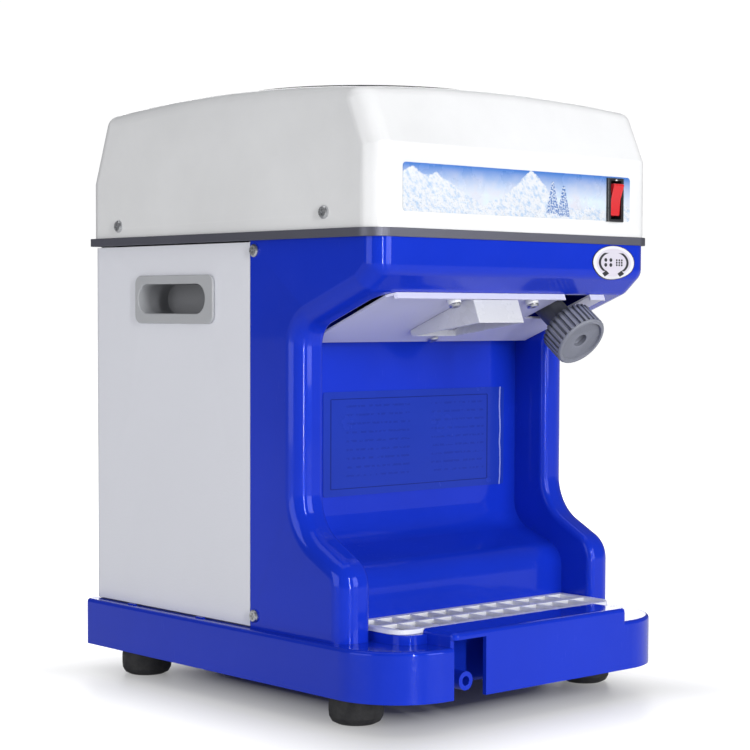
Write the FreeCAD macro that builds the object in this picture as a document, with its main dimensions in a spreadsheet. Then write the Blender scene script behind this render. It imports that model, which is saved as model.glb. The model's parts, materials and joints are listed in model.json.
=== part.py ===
import FreeCAD, Part
import math
import os
import re

import Sketcher

# Counter-top ice shaver. Millimetres, +Z up, the front faces -Y.
# The origin is on the counter, under the middle of the machine.

doc = FreeCAD.newDocument("IceShaver")
sheet = doc.addObject("Spreadsheet::Sheet", "Sizes")

VECTOR = FreeCAD.Vector
UP = VECTOR(0, 0, 1)
RIGHT = VECTOR(1, 0, 0)
BACK = VECTOR(0, 1, 0)
SIDES = {"left": -1, "right": 1}

SIZES = {
    # overall levels and outlines
    "deck_wide": 260, "deck_front": -143.5, "deck_back": 165, "deck_foot": 305.5, "deck_top": 311,
    "deck_round": 14, "base_wide": 268, "base_front": -165, "base_back": 165, "base_foot": 19.5,
    "base_top": 52, "base_round": 48, "wall": 3, "body_wide": 252, "seam": 0.4,
    # drip basin, raised apron, notch and drain
    "apron_half": 81, "apron_top": 61, "basin_half": 100.4, "basin_front": -140.4, "basin_back": -85.4,
    "basin_top": 58, "basin_foot": 23.5, "basin_floor": 26.5, "basin_wall": 5.4, "basin_round": 13,
    "notch_low": -81, "notch_high": -53, "notch_top": 56.6, "drain_spot": -67, "drain_level": 29.5,
    "drain_radius": 6, "drain_bore": 3, "drain_front": -161,
    # drip grid
    "grid_half": 100.5, "grid_front": -136.5, "grid_back": -85.5, "grid_top": 61, "grid_plate": 2.8,
    "grid_skirt": 8, "grid_rib": 1.7, "grid_rim": 2,
    # feet
    "foot_across": 107, "foot_front": -103, "foot_back": 125, "foot_radius": 17.6, "boss_radius": 8,
    # front housing
    "house_back": -19, "nose_front": -142.2, "nose_crease": 284.5, "lip_front": -128,
    "lip_level": 272, "roof_slope": 0.39, "pillar_front": -67, "low_front": -112.5, "nose_inner": -120,
    "bend_low": 98.4, "bend_high": 122.6, "bay_half": 102.5, "bay_wall": -38, "bay_low": -85,
    "bay_bend_low": 91.8, "bay_bend_high": 110, "bay_foot": 52, "house_round": 12, "rim_round": 5,
         "nose_top_round": 9,
    # rear panel and handle cups
    "panel_thick": 1.2, "panel_foot": 53, "panel_back": 163, "cup_front": 19, "cup_back": 108.5,
    "cup_foot": 251, "cup_top": 284, "cup_open_front": 27.8, "cup_open_back": 104.6,
    "cup_open_foot": 257.8, "cup_open_top": 278, "cup_deep": 26, "cup_proud": 2.2,
    # top cover
    "cover_front": -142.6, "cover_back": 164, "cover_half": 128, "cover_break_front": 363.5,
    "cover_break_back": 350.6, "cover_thick": 2.6, "crown_radius": 1480, "crown_top": 408.2,
    "crown_middle": 10, "feed_radius": 72, "collar_foot": 384,
    # shaft line and drive
    "shaft_spot": -10, "shaft_radius": 6, "motor_spot": 95, "belt_foot": 264, "belt_top": 274,
    "driven_radius": 39.6, "motor_pulley_radius": 18, "belt_thick": 5, "motor_radius": 58,
    "motor_foot": 112, "motor_top": 244,
    # hopper
    "hopper_radius": 104, "hopper_thick": 2.5, "hopper_top": 380, "plate_thick": 3,
    # blade slot, snow duct and chute
    "slot_left": -30, "slot_right": 2, "slot_front": -106, "slot_back": -60, "duct_left": -30.5,
    "duct_right": 9.5, "duct_front": -116, "duct_back": -58, "duct_heel": -77.5,
    "neck_left": -20.4, "duct_wall": 1.5, "chute_half": 101.5, "chute_back": -48,
    "chute_thick": 1.5, "spout_left": -30.5, "spout_right": 10.8, "spout_long": 64,
    "spout_deep": -20.5, "spout_shallow": -6, "spout_wall": 1.5, "spacer_tall": 3.6, "spacer_spot": 6.6,
    # adjusting knob
    "knob_across": 71, "knob_face_back": -131.2, "knob_face_level": 239.3, "knob_tilt": 52,
    "knob_radius": 18.6, "knob_tall": 19, "neck_radius": 9.5, "neck_end": 47.5, "screw_radius": 4,
    # lid
    "lid_radius": 92, "lid_thick": 2.6, "plug_radius": 67.5, "hinge_back": 108, "hinge_level": 409.7,
    # inner frames and cord inlet
    "post_inner": 107, "post_outer": 122.6, "gland_across": 70, "gland_level": 75,
    # switch and stickers
    "switch_across": 89.3, "switch_level": 335.5, "switch_wide": 16.3, "switch_tall": 29.5,
    "label_half": 105.2, "label_foot": 321.3, "label_top": 351.2, "sticker_thick": 0.4,
}


def fill_sheet():
    for row, (name, value) in enumerate(SIZES.items(), start=1):
        sheet.set(f"A{row}", name)
        sheet.set(f"B{row}", str(value))
        sheet.setAlias(f"B{row}", name)
    doc.recompute()


def size(name):
    return float(sheet.get(name))


def formula(text):
    """Names of the sheet's cells get the sheet's own name in front."""
    return re.sub(r"[a-z_]+", lambda word: "Sizes." + word.group()
                  if word.group() in SIZES else word.group(), text)


def bind(item, **links):
    for name, text in links.items():
        item.setExpression(name.replace("__", "."), formula(str(text)))
    return item


fill_sheet()
nodes = {}


def keep(label, item):
    """The finished sub-part takes its own label, which is its file's name too."""
    item.Label = label
    nodes[label] = item
    return item


# ---- solids from primitives and booleans ----

def box(name, across, along, tall):
    item = doc.addObject("Part::Box", name)
    bind(item, Length=f"({across[1]}) - ({across[0]})", Width=f"({along[1]}) - ({along[0]})",
         Height=f"({tall[1]}) - ({tall[0]})")
    return bind(item, Placement__Base__x=across[0], Placement__Base__y=along[0],
                Placement__Base__z=tall[0])


def rod(name, radius, long, foot, axis=UP):
    item = doc.addObject("Part::Cylinder", name)
    item.Placement = FreeCAD.Placement(VECTOR(), FreeCAD.Rotation(UP, axis))
    bind(item, Radius=radius, Height=long)
    return bind(item, Placement__Base__x=foot[0], Placement__Base__y=foot[1],
                Placement__Base__z=foot[2])


def join(name, items):
    item = doc.addObject("Part::MultiFuse", name)
    item.Shapes = items
    return item


def cut(name, base, *tools):
    item = doc.addObject("Part::Cut", name)
    item.Base = base
    item.Tool = tools[0] if len(tools) == 1 else join(name + "_tools", list(tools))
    return item


def common(name, first, second):
    item = doc.addObject("Part::Common", name)
    item.Base = first
    item.Tool = second
    return item


def rounded(name, base, radius, choose):
    """Part fillet of the edges that the test picks."""
    doc.recompute()
    item = doc.addObject("Part::Fillet", name)
    item.Base = base
    picked = [i for i, edge in enumerate(base.Shape.Edges, start=1) if choose(edge)]
    item.Edges = [(i, radius, radius) for i in picked]
    return item


# ---- bodies: sketches and features ----

def new_body(name, spot=("0", "0", "0"), axis=UP):
    body = doc.addObject("PartDesign::Body", name)
    body.Placement = FreeCAD.Placement(VECTOR(), FreeCAD.Rotation(UP, axis))
    return bind(body, Placement__Base__x=spot[0], Placement__Base__y=spot[1],
                Placement__Base__z=spot[2])


def origin_item(body, role):
    return next(item for item in body.Origin.OriginFeatures if item.Role == role)


def new_sketch(body, plane, level):
    sketch = body.newObject("Sketcher::SketchObject", body.Name + "_sketch")
    sketch.AttachmentSupport = (origin_item(body, plane), [""])
    sketch.MapMode = "FlatFace"
    return bind(sketch, AttachmentOffset__Base__z=level)


def pin_point(sketch, geometry, corner, across, along):
    for kind, text in (("DistanceX", across), ("DistanceY", along)):
        number = sketch.addConstraint(Sketcher.Constraint(kind, -1, 1, geometry, corner, 1.0))
        sketch.renameConstraint(number, f"{kind}{geometry}_{corner}")
        sketch.setExpression(f"Constraints.{kind}{geometry}_{corner}", formula(str(text)))


def outline(body, plane, points, level="0"):
    """Closed polygon whose corners are bound to the sheet."""
    sketch = new_sketch(body, plane, level)
    count = len(points)
    ring = [VECTOR(math.cos(2 * math.pi * i / count), math.sin(2 * math.pi * i / count), 0)
            for i in range(count)]
    for i in range(count):
        sketch.addGeometry(Part.LineSegment(ring[i], ring[(i + 1) % count]))
    for i in range(count):
        sketch.addConstraint(Sketcher.Constraint("Coincident", i, 2, (i + 1) % count, 1))
    for i, (across, along) in enumerate(points):
        pin_point(sketch, i, 1, across, along)
    return sketch


def rectangle(body, plane, across, along, level="0"):
    corners = [(across[0], along[0]), (across[1], along[0]), (across[1], along[1]),
               (across[0], along[1])]
    return outline(body, plane, corners, level)


def circles(body, plane, spots, radius, level="0"):
    sketch = new_sketch(body, plane, level)
    for i, (across, along) in enumerate(spots):
        sketch.addGeometry(Part.Circle(VECTOR(i * 5, 0, 0), UP, 1))
        pin_point(sketch, i, 3, across, along)
        number = sketch.addConstraint(Sketcher.Constraint("Radius", i, 1.0))
        sketch.renameConstraint(number, f"radius{i}")
        sketch.setExpression(f"Constraints.radius{i}", formula(str(radius)))
    return sketch


def pad(body, sketch, long, both=False, back=False):
    item = body.newObject("PartDesign::Pad", body.Name + "_pad")
    item.Profile = sketch
    item.SideType = "Symmetric" if both else "One side"
    item.Reversed = back
    return bind(item, Length=long)


def pocket(body, sketch, long, both=False, back=False):
    """Cuts away from the sketch's normal, or along it when back is set; the volume must drop."""
    doc.recompute()
    before = body.Shape.Volume
    item = body.newObject("PartDesign::Pocket", body.Name + "_pocket")
    item.Profile = sketch
    item.SideType = "Symmetric" if both else "One side"
    item.Reversed = back
    bind(item, Length=long)
    doc.recompute()
    if body.Shape.Volume > before - 1e-3:
        raise RuntimeError(f"{item.Name} cuts nothing")
    return item


def revolve(body, points):
    """A turned piece about the body's own Z axis; points are radius and height."""
    item = body.newObject("PartDesign::Revolution", body.Name + "_turn")
    sketch = outline(body, "XZ_Plane", points)
    item.Profile = sketch
    item.ReferenceAxis = (sketch, ["V_Axis"])
    item.Angle = 360
    return item


def spread(body, feature, count):
    """Repeats a feature round the body's own Z axis."""
    item = body.newObject("PartDesign::PolarPattern", body.Name + "_ring")
    item.Originals = [feature]
    item.Axis = (origin_item(body, "Z_Axis"), [""])
    item.Angle = 360
    item.Occurrences = count
    body.Tip = item
    return item


def dress(body, kind, amount, choose):
    """Fillet or chamfer of the body's edges that the test picks."""
    doc.recompute()
    tip = body.Tip
    names = [f"Edge{i}" for i, edge in enumerate(tip.Shape.Edges, start=1) if choose(edge)]
    if not names:
        raise RuntimeError(f"{body.Name} has no such edge")
    item = body.newObject("PartDesign::" + kind, body.Name + "_" + kind.lower())
    item.Base = (tip, names)
    bind(item, **{"Radius" if kind == "Fillet" else "Size": amount})
    doc.recompute()
    if not item.Shape.isValid():
        raise RuntimeError(f"{item.Name} is not valid")
    return item


def shell(body, thick, choose):
    """Hollows the body inwards and opens the faces that the test picks."""
    doc.recompute()
    tip = body.Tip
    names = [f"Face{i}" for i, face in enumerate(tip.Shape.Faces, start=1) if choose(face)]
    item = body.newObject("PartDesign::Thickness", body.Name + "_shell")
    item.Base = (tip, names)
    item.Join = "Arc"
    item.Reversed = True
    bind(item, Value=thick)
    doc.recompute()
    if item.Shape.isNull() or item.Shape.Volume > 0.8 * tip.Shape.Volume:
        raise RuntimeError(f"{item.Name} is not hollow")
    return item


def upright(edge, across=None, along=None, slack=0.05):
    """A straight vertical edge at the given place."""
    ends = [vertex.Point for vertex in edge.Vertexes]
    if len(ends) != 2 or (ends[0] - ends[1]).cross(UP).Length > 1e-3:
        return False
    near_x = across is None or any(abs(ends[0].x - value) < slack for value in across)
    near_y = along is None or any(abs(ends[0].y - value) < slack for value in along)
    return near_x and near_y


def flat_at(face, axis, value):
    """A flat face square to the axis, at that coordinate."""
    box_of = face.BoundBox
    low, high = getattr(box_of, axis + "Min"), getattr(box_of, axis + "Max")
    return abs(low - value) < 0.01 and abs(high - value) < 0.01


# ---- base tray, drip grid, feet ----

def base_tray():
    body = new_body("BaseTray")
    half = "base_wide / 2"
    pad(body, rectangle(body, "XY_Plane", ("-" + half, half), ("base_front", "base_back"),
                        "base_foot"), "base_top - base_foot")
    edge_x = [-size("base_wide") / 2, size("base_wide") / 2]
    dress(body, "Fillet", "base_round", lambda e: upright(e, edge_x, [size("base_front")]))
    dress(body, "Fillet", "6", lambda e: upright(e, edge_x, [size("base_back")]))
    shell(body, "wall", lambda f: flat_at(f, "Z", size("base_foot")))
    dress(body, "Fillet", "2.5", lambda e: e.BoundBox.ZMin > size("base_top") - 0.01)
    pad(body, rectangle(body, "XY_Plane", ("-basin_half", "basin_half"),
                        ("basin_front", "basin_back"), "basin_foot"), "basin_top - basin_foot")
    dress(body, "Fillet", "basin_round",
          lambda e: upright(e, [-size("basin_half"), size("basin_half")], [size("basin_front")]))
    pad(body, rectangle(body, "XY_Plane", ("-apron_half", "apron_half"),
                        ("base_front", "grid_front - seam"), "base_top - wall"),
        "apron_top - base_top + wall")
    apron_x = [-size("apron_half"), size("apron_half")]
    dress(body, "Fillet", "4", lambda e: upright(e, apron_x, [size("base_front")]))
    rear = size("grid_front") - size("seam") - 0.01
    dress(body, "Fillet", "2.5", lambda e: e.BoundBox.ZMin > size("apron_top") - 0.01
          and e.BoundBox.YMin < rear)
    hollow = rectangle(body, "XY_Plane", ("-apron_half + wall", "apron_half - wall"),
                       ("base_front + wall", "basin_front - 1"), "base_foot")
    pocket(body, hollow, "apron_top - wall - base_foot", back=True)
    basin = rectangle(body, "XY_Plane", ("-basin_half + basin_wall", "basin_half - basin_wall"),
                      ("basin_front + basin_wall", "basin_back - wall"), "basin_floor")
    pocket(body, basin, "basin_top - basin_floor + 4", back=True)
    notch = rectangle(body, "XY_Plane", ("notch_low", "notch_high"),
                      ("base_front - 1", "base_front + wall + 0.5"), "base_foot")
    pocket(body, notch, "notch_top - base_foot", back=True)
    spots = [(f"{sign}foot_across", along) for sign in ("-", "")
             for along in ("foot_front", "foot_back")]
    pad(body, circles(body, "XY_Plane", spots, "boss_radius", "base_foot"), "base_top - base_foot - 1")
    pocket(body, circles(body, "XY_Plane", spots, "2.2", "base_foot"), "20", back=True)
    drain = circles(body, "XZ_Plane", [("drain_spot", "drain_level")], "drain_radius",
                    "-basin_front - 0.5")
    pad(body, drain, "basin_front - drain_front + 0.5")
    bore = circles(body, "XZ_Plane", [("drain_spot", "drain_level")], "drain_bore",
                   "-drain_front")
    pocket(body, bore, "basin_front - drain_front + basin_wall + 1")
    for along in ("34.5", "114.5"):
        for sign in ("-", ""):
            pad(body, rectangle(body, "XY_Plane",
                                (f"{sign}(body_wide / 2 + 1)-1", f"{sign}(body_wide / 2 + 1) + 1"),
                                (f"{along} - 4", f"{along} + 4"), "base_top - 0.2"), "1")
    keep("base_tray", body)


# ---- the chute's own slope ----

PLATE_UP = VECTOR(0, size("roof_slope"), 1).normalize()
STRETCH = f"{1 / PLATE_UP.z:.6f}"
CHUTE_SPOT = ("0", "lip_front", "lip_level")
SPACER_ACROSS = (-42, 30)


def chute_body(name):
    """A body whose X runs across and whose Y runs back and down along the chute."""
    return new_body(name, CHUTE_SPOT, PLATE_UP)


def on_chute(across, along, lift):
    """A point on the chute, in the machine's own frame."""
    local = VECTOR(across, along, lift)
    return VECTOR(0, size("lip_front"),
                  size("lip_level")) + FreeCAD.Rotation(UP, PLATE_UP).multVec(local)


# ---- front housing ----

def across_at(edge, along, tall):
    """An edge that runs along X through the given place in the side view."""
    spread_of = edge.BoundBox
    middle = edge.CenterOfMass
    level = spread_of.YLength < 0.01 and spread_of.ZLength < 0.01
    return level and abs(middle.y - along) < 0.05 and abs(middle.z - tall) < 0.05


def roof_level(along):
    """The sloping underside of the nose, as a formula."""
    return f"lip_level - roof_slope * (({along}) - lip_front)"


def roof_height(along):
    return size("lip_level") - size("roof_slope") * (along - size("lip_front"))


def profile_edge(edge, half):
    """An edge of the side view's front outline, on the plane at that half width."""
    spread_of = edge.BoundBox
    if spread_of.XLength > 0.01 or abs(abs(spread_of.XMin) - half) > 0.01:
        return False
    ends = (size("deck_foot"), size("bay_foot"))
    level = spread_of.ZLength < 0.01 and any(abs(spread_of.ZMin - z) < 1.1 for z in ends)
    return not level and spread_of.YMax < size("house_back") - 0.5


def outer_line(edge):
    return profile_edge(edge, size("body_wide") / 2)


def rim_line(edge):
    """The bay's front rim: the pillars' inner edges, the nose's lower edges and its lip."""
    spread_of = edge.BoundBox
    front = spread_of.YMax < size("bay_wall") and spread_of.ZMax < size("lip_level") + 2
    behind = spread_of.YMin > size("bay_low") - 0.01 and spread_of.ZMax < size("bay_bend_high") + 30
    if spread_of.XLength < 0.01:
        deep = spread_of.YMax > size("bay_wall") - 0.01
        return profile_edge(edge, size("bay_half")) and front and not behind and not deep
    return across_at(edge, size("nose_inner"), roof_height(size("nose_inner")))


def housing_prism(name, inset, half, ends):
    """The housing's side view, drawn in from the outside by the inset, as a solid block."""
    body = new_body(name)
    bend = f"- 0.6 * ({inset})"
    roof = f"{roof_level('pillar_front')} + 0.66 * ({inset})"
    side_view = [(f"house_back + {ends}", f"bay_foot - {ends}"),
                 (f"low_front + {inset}", f"bay_foot - {ends}"),
                 (f"low_front + {inset}", f"bend_low {bend}"),
                 (f"pillar_front + {inset}", f"bend_high {bend}"),
                 (f"pillar_front + {inset}", roof),
                 (f"lip_front + 0.53 * {inset}", f"lip_level + 0.87 * {inset}"),
                 (f"nose_front + {inset}", f"nose_crease + 0.45 * {inset}"),
                 (f"nose_front + {inset}", f"deck_foot + {ends}"),
                 (f"house_back + {ends}", f"deck_foot + {ends}")]
    pad(body, outline(body, "YZ_Plane", side_view), half, both=True)
    step = float(inset)
    pillar = size("pillar_front") + step
    low = size("low_front") + step
    for radius, along, tall in ((32 + step, pillar, size("bend_high") - 0.6 * step),
                                (20 - step, low, size("bend_low") - 0.6 * step),
                                (16 + step, pillar, roof_height(size("pillar_front")) + 0.66 * step),
                                (8 - step, size("lip_front") + 0.53 * step,
                                 size("lip_level") + 0.87 * step),
                                (9 - step, size("nose_front") + step,
                                 size("nose_crease") + 0.45 * step)):
        dress(body, "Fillet", str(radius), lambda e: across_at(e, along, tall))
    return body


def bay_points(grow):
    top = f"deck_foot + 5 + {grow}"
    return [("base_front", "bay_foot - 5"), (f"bay_low + {grow}", "bay_foot - 5"),
            (f"bay_low + {grow}", f"bay_bend_low + 0.2 * {grow}"),
            (f"bay_wall + {grow}", f"bay_bend_high + 0.2 * {grow}"), (f"bay_wall + {grow}", top),
            (f"nose_inner - {grow}", top), (f"nose_inner - {grow}", "lip_level - 10"),
            ("base_front", "lip_level - 10")]


def round_bay(body, grow):
    for radius, along, tall in ((18 - grow, size("bay_low") + grow, size("bay_bend_low") + 0.2 * grow),
                                (20 + grow, size("bay_wall") + grow,
                                 size("bay_bend_high") + 0.2 * grow)):
        dress(body, "Fillet", str(radius), lambda e: across_at(e, along, tall))


def front_housing():
    body = housing_prism("FrontHousing", "0", "body_wide", "0")
    pocket(body, outline(body, "YZ_Plane", bay_points("0")), "2 * bay_half", both=True)
    round_bay(body, 0)
    halves = [-size("bay_half"), size("bay_half")]
    dress(body, "Fillet", "house_round", outer_line)
    dress(body, "Fillet", "9", lambda e: upright(e, halves, [size("nose_inner")]))
    dress(body, "Fillet", "rim_round", rim_line)
    core = housing_prism("HousingCore", "3", "body_wide - 2 * wall", "1")
    core_half = size("body_wide") / 2 - size("wall")
    dress(core, "Fillet", "house_round - wall", lambda e: profile_edge(e, core_half))
    lining = new_body("BayLining")
    pad(lining, outline(lining, "YZ_Plane", bay_points("wall")), "2 * (bay_half + wall)", both=True)
    round_bay(lining, size("wall"))
    hollow = cut("HousingHollow", core, lining)
    holes = [rod(f"BodyScrewHole{i}", "2.1", "body_wide + 4", ("-body_wide / 2 - 2", "-23.5", level),
                 RIGHT)
             for i, level in enumerate(("60", "299"))]
    holes.append(box("PulleyWindow", ("-50", "50"), ("bay_wall - 2", "bay_wall + wall + 2"),
                     ("belt_foot - 8", "belt_top + 8")))
    for i, across in enumerate(SPACER_ACROSS):
        spot = on_chute(across, size("spacer_spot"), -0.1)
        foot = tuple(f"{value:.4f}" for value in (spot.x, spot.y, spot.z))
        holes.append(rod(f"PilotHole{i}", "1.85", "9", foot, PLATE_UP))
    keep("front_housing", cut("FrontHousingShell", body, hollow, *holes))


# ---- small fixings ----

def screw(name, spot, axis, head, shank, long):
    """Pan-head screw with a cross recess; the axis points out of the head."""
    body = new_body(name, spot, axis)
    revolve(body, [("0", f"-({long})"), (shank, f"-({long})"), (shank, "0"), (head, "0"),
                   (head, "1"), (f"{head} - 0.9", "2"), ("0", "2")])
    arm = f"0.5 * {head}"
    pocket(body, rectangle(body, "XY_Plane", (f"-{arm}", arm), ("-0.45", "0.45"), "2"), "0.9")
    pocket(body, rectangle(body, "XY_Plane", ("-0.45", "0.45"), (f"-{arm}", arm), "2"), "0.9")
    return body


def group(label, items):
    bundle = doc.addObject("Part::Compound", label + "_group")
    bundle.Links = items
    return keep(label, bundle)


def ring_plate(name, spot, axis, outer, inner, foot, top):
    """A plain turned ring between two heights on its own axis."""
    body = new_body(name, spot, axis)
    revolve(body, [(inner, foot), (outer, foot), (outer, top), (inner, top)])
    return body


def stadium(name, along, tall, across):
    """A slot-shaped bar that runs along X, with round ends."""
    radius = f"(({tall[1]}) - ({tall[0]})) / 2"
    level = f"(({tall[1]}) + ({tall[0]})) / 2"
    long = f"({across[1]}) - ({across[0]})"
    middle = box(name + "_bar", across, (f"{along[0]} + {radius}", f"{along[1]} - {radius}"), tall)
    ends = [rod(name + f"_end{i}", radius, long, (across[0], spot, level), RIGHT)
            for i, spot in enumerate((f"{along[0]} + {radius}", f"{along[1]} - {radius}"))]
    return join(name, [middle] + ends)


# ---- grid and feet ----

def drip_grid():
    body = new_body("DripGrid")
    pad(body, rectangle(body, "XY_Plane", ("-grid_half", "grid_half"), ("grid_front", "grid_back"),
                        "grid_top - grid_plate"), "grid_plate")
    corner_x = [-size("grid_half"), size("grid_half")]
    dress(body, "Fillet", "12", lambda e: upright(e, corner_x, [size("grid_front")]))
    side = ("-basin_half + basin_wall + seam", "basin_half - basin_wall - seam")
    depth = ("basin_front + basin_wall + seam", "basin_back - wall - seam")
    foot = "grid_top - grid_plate - grid_skirt"
    pad(body, rectangle(body, "XY_Plane", side, depth, foot), "grid_skirt")
    skirt_x = size("basin_half") - size("basin_wall") - size("seam")
    front = size("basin_front") + size("basin_wall") + size("seam")
    dress(body, "Fillet", "10", lambda e: upright(e, [-skirt_x, skirt_x], [front]))
    inner = rectangle(body, "XY_Plane", (f"{side[0]} + 2", f"{side[1]} - 2"),
                      (f"{depth[0]} + 2", f"{depth[1]} - 2"), foot)
    pocket(body, inner, "grid_skirt", back=True)
    cells = []
    columns = 12
    pitch = "(2 * (grid_half - grid_rim - 3) + grid_rib) / 12"
    middle = "(grid_front + grid_back) / 2"
    rows = ((f"{middle} + grid_rib", "grid_back - grid_rim - 3"),
            ("grid_front + grid_rim + 2", f"{middle} - grid_rib"))
    for column in range(columns):
        left = f"-grid_half + grid_rim + 3 + {column} * {pitch}"
        for i, row in enumerate(rows):
            cells.append(box(f"GridCell{column}_{i}", (left, f"{left} + {pitch} - grid_rib"), row,
                             ("grid_top - grid_plate - 1", "grid_top + 1")))
    keep("drip_grid", cut("DripGridPlate", body, *cells))


def feet():
    places = {"foot_front_left": ("-foot_across", "foot_front"),
              "foot_front_right": ("foot_across", "foot_front"),
              "foot_back_left": ("-foot_across", "foot_back"),
              "foot_back_right": ("foot_across", "foot_back")}
    screws = []
    for label, (across, along) in places.items():
        foot = new_body(label + "_body", (across, along, "0"))
        revolve(foot, [("5", "0"), ("foot_radius - 5.1", "0"), ("foot_radius - 2.1", "1.5"),
                       ("foot_radius - 0.4", "4.5"),
                       ("foot_radius", "8"), ("foot_radius", "14"),
                       ("foot_radius - 1", "base_foot - 0.1"),
                       ("2.4", "base_foot - 0.1"), ("2.4", "8"), ("5", "8")])
        keep(label, foot)
        screws.append(screw(label + "_screw", (across, along, "8"), -UP, "4.2", "2", "24"))
    group("foot_screws", screws)


# ---- rear panel and handle cups ----

def rear_panel():
    outer = box("PanelOuter", ("-body_wide / 2", "body_wide / 2"), ("house_back + seam", "panel_back"),
                ("panel_foot", "deck_foot - 1"))
    corners = [-size("body_wide") / 2, size("body_wide") / 2]
    outer = rounded("PanelOuterRound", outer, 7, lambda e: upright(e, corners, [size("panel_back")]))
    half = "body_wide / 2 - panel_thick"
    inner = box("PanelInner", (f"-({half})", half), ("house_back - 1", "panel_back - panel_thick"),
                ("panel_foot - 1", "deck_foot + 1"))
    reach = size("body_wide") / 2 - size("panel_thick")
    back = size("panel_back") - size("panel_thick")
    inner = rounded("PanelInnerRound", inner, 5.8, lambda e: upright(e, [-reach, reach], [back]))
    holes = [stadium("CupHole", ("cup_open_front - 2.4", "cup_open_back + 2.4"),
                     ("cup_open_foot - 2.4", "cup_open_top + 2.4"),
                     ("-body_wide / 2 - 2", "body_wide / 2 + 2")),
             rod("GlandHole", "8.2", "10", ("gland_across", "panel_back + 5", "gland_level"), -BACK)]
    for row in range(9):
        level = f"120 + {row} * 12"
        for i, side in enumerate(("-78", "8")):
            holes.append(box(f"Louvre{row}_{i}", (side, f"{side} + 70"),
                             ("panel_back - 4", "panel_back + 2"),
                             (level, f"{level} + 4")))
    sheet_metal = cut("PanelSheet", outer, inner)
    keep("rear_panel", cut("RearPanel", sheet_metal, *holes))


def handle_cup(side, sign):
    """A carrying grip let into the side of the rear panel."""
    face = "body_wide / 2"
    spans = [(f"{face} + 0.1", f"{face} + cup_proud"),
             (f"{face} + cup_proud - cup_deep - 2", f"{face} + 0.1"),
             (f"{face} + cup_proud - cup_deep", f"{face} + 5")]
    if sign < 0:
        spans = [(f"-({high})", f"-({low})") for low, high in spans]
    flange_x, cup_x, bore_x = spans
    flange = box(side + "Flange", flange_x, ("cup_front", "cup_back"), ("cup_foot", "cup_top"))
    flange = rounded(side + "FlangeRound", flange, 6, lambda e: e.BoundBox.YLength < 0.01
                     and e.BoundBox.ZLength < 0.01)
    opening = (("cup_open_front", "cup_open_back"), ("cup_open_foot", "cup_open_top"))
    grown = (("cup_open_front - 2", "cup_open_back + 2"), ("cup_open_foot - 2", "cup_open_top + 2"))
    shell_outer = stadium(side + "CupOuter", grown[0], grown[1], cup_x)
    bore = stadium(side + "CupBore", opening[0], opening[1], bore_x)
    keep(f"{side}_handle_cup", cut(side + "Cup", join(side + "CupSolid", [flange, shell_outer]), bore))


# ---- deck and cover ----

COVER_SCREWS = (("cover_screw_front", "-95.4", "321.3"), ("cover_screw_back", "128", "319"))


def deck_plate():
    body = new_body("DeckPlate")
    half = "deck_wide / 2"
    pad(body, rectangle(body, "XY_Plane", (f"-{half}", half), ("deck_front", "deck_back"), "deck_foot"),
        "deck_top - deck_foot")
    corners = [-size("deck_wide") / 2, size("deck_wide") / 2]
    dress(body, "Fillet", "deck_round", lambda e: upright(e, corners, [size("deck_front")]))
    dress(body, "Fillet", "6", lambda e: upright(e, corners, [size("deck_back")]))
    tabs = []
    for i, (label, along, level) in enumerate(COVER_SCREWS):
        for side, sign in SIDES.items():
            inside, outside = "cover_half - cover_thick - 3.4", "cover_half - cover_thick - 0.4"
            across = (inside, outside) if sign > 0 else (f"-({outside})", f"-({inside})")
            tabs.append(box(f"DeckTab{side}{i}", across, (f"{along} - 8", f"{along} + 8"),
                            ("deck_top - 1", f"{level} + 6")))
    holes = [rod("ShaftHole", "8.4", "20", ("0", "shaft_spot", "deck_foot - 5")),
             rod("WireHole", "6", "20", ("95", "70", "deck_foot - 5")),
             box("BladeSlot", ("slot_left - 4", "slot_right"), ("slot_front - 1.5", "slot_back + 1.5"),
                 ("deck_foot - 1", "deck_top + 1"))]
    for i, (label, along, level) in enumerate(COVER_SCREWS):
        holes.append(rod(f"TabHole{i}", "1.9", "cover_half * 2", ("-cover_half", along, level), RIGHT))
    keep("deck_plate", cut("DeckPlateCut", join("DeckWithTabs", [body] + tabs), *holes))


def crown_ball(name, lift):
    """The cover's crown, lifted by that much; its poles lie level, clear of the crown."""
    ball = doc.addObject("Part::Sphere", name)
    ball.Placement = FreeCAD.Placement(VECTOR(), FreeCAD.Rotation(RIGHT, 90))
    return bind(ball, Radius=f"crown_radius + ({lift})", Placement__Base__y="crown_middle",
                Placement__Base__z="crown_top - crown_radius")


def cover_block(name, inset):
    """The cover's outline as a solid block, drawn in by the inset."""
    body = new_body(name)
    foot = "deck_top + 0.1" if inset == "0" else "deck_top - 1"
    front, back = f"cover_front + {inset}", f"cover_back - {inset}"
    points = [(front, foot), (front, f"cover_break_front - 0.21 * {inset}"),
              (f"{front} + 35", f"cover_break_front + 78.6 - 0.21 * {inset}"),
              (f"{back} - 31", f"cover_break_back + 80.8 - 0.19 * {inset}"),
              (back, f"cover_break_back - 0.19 * {inset}"), (back, foot)]
    pad(body, outline(body, "YZ_Plane", points), f"2 * (cover_half - {inset})", both=True)
    half = size("cover_half") - float(inset)
    step = float(inset)

    def side_edge(edge):
        spread_of = edge.BoundBox
        return spread_of.XLength < 0.01 and abs(abs(spread_of.XMin)
                                                - half) < 0.01 and spread_of.ZLength > 20

    dress(body, "Fillet", str(14 - step), lambda e: side_edge(e) and e.BoundBox.YMax < -50)
    dress(body, "Fillet", str(10 - step), lambda e: side_edge(e) and e.BoundBox.YMin > 50)
    block = common(name + "Block", body, crown_ball(name + "Crown", f"-{inset}"))
    return rounded(name + "Round", block, 9 - step, lambda e: e.BoundBox.ZMin > 385)


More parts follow.
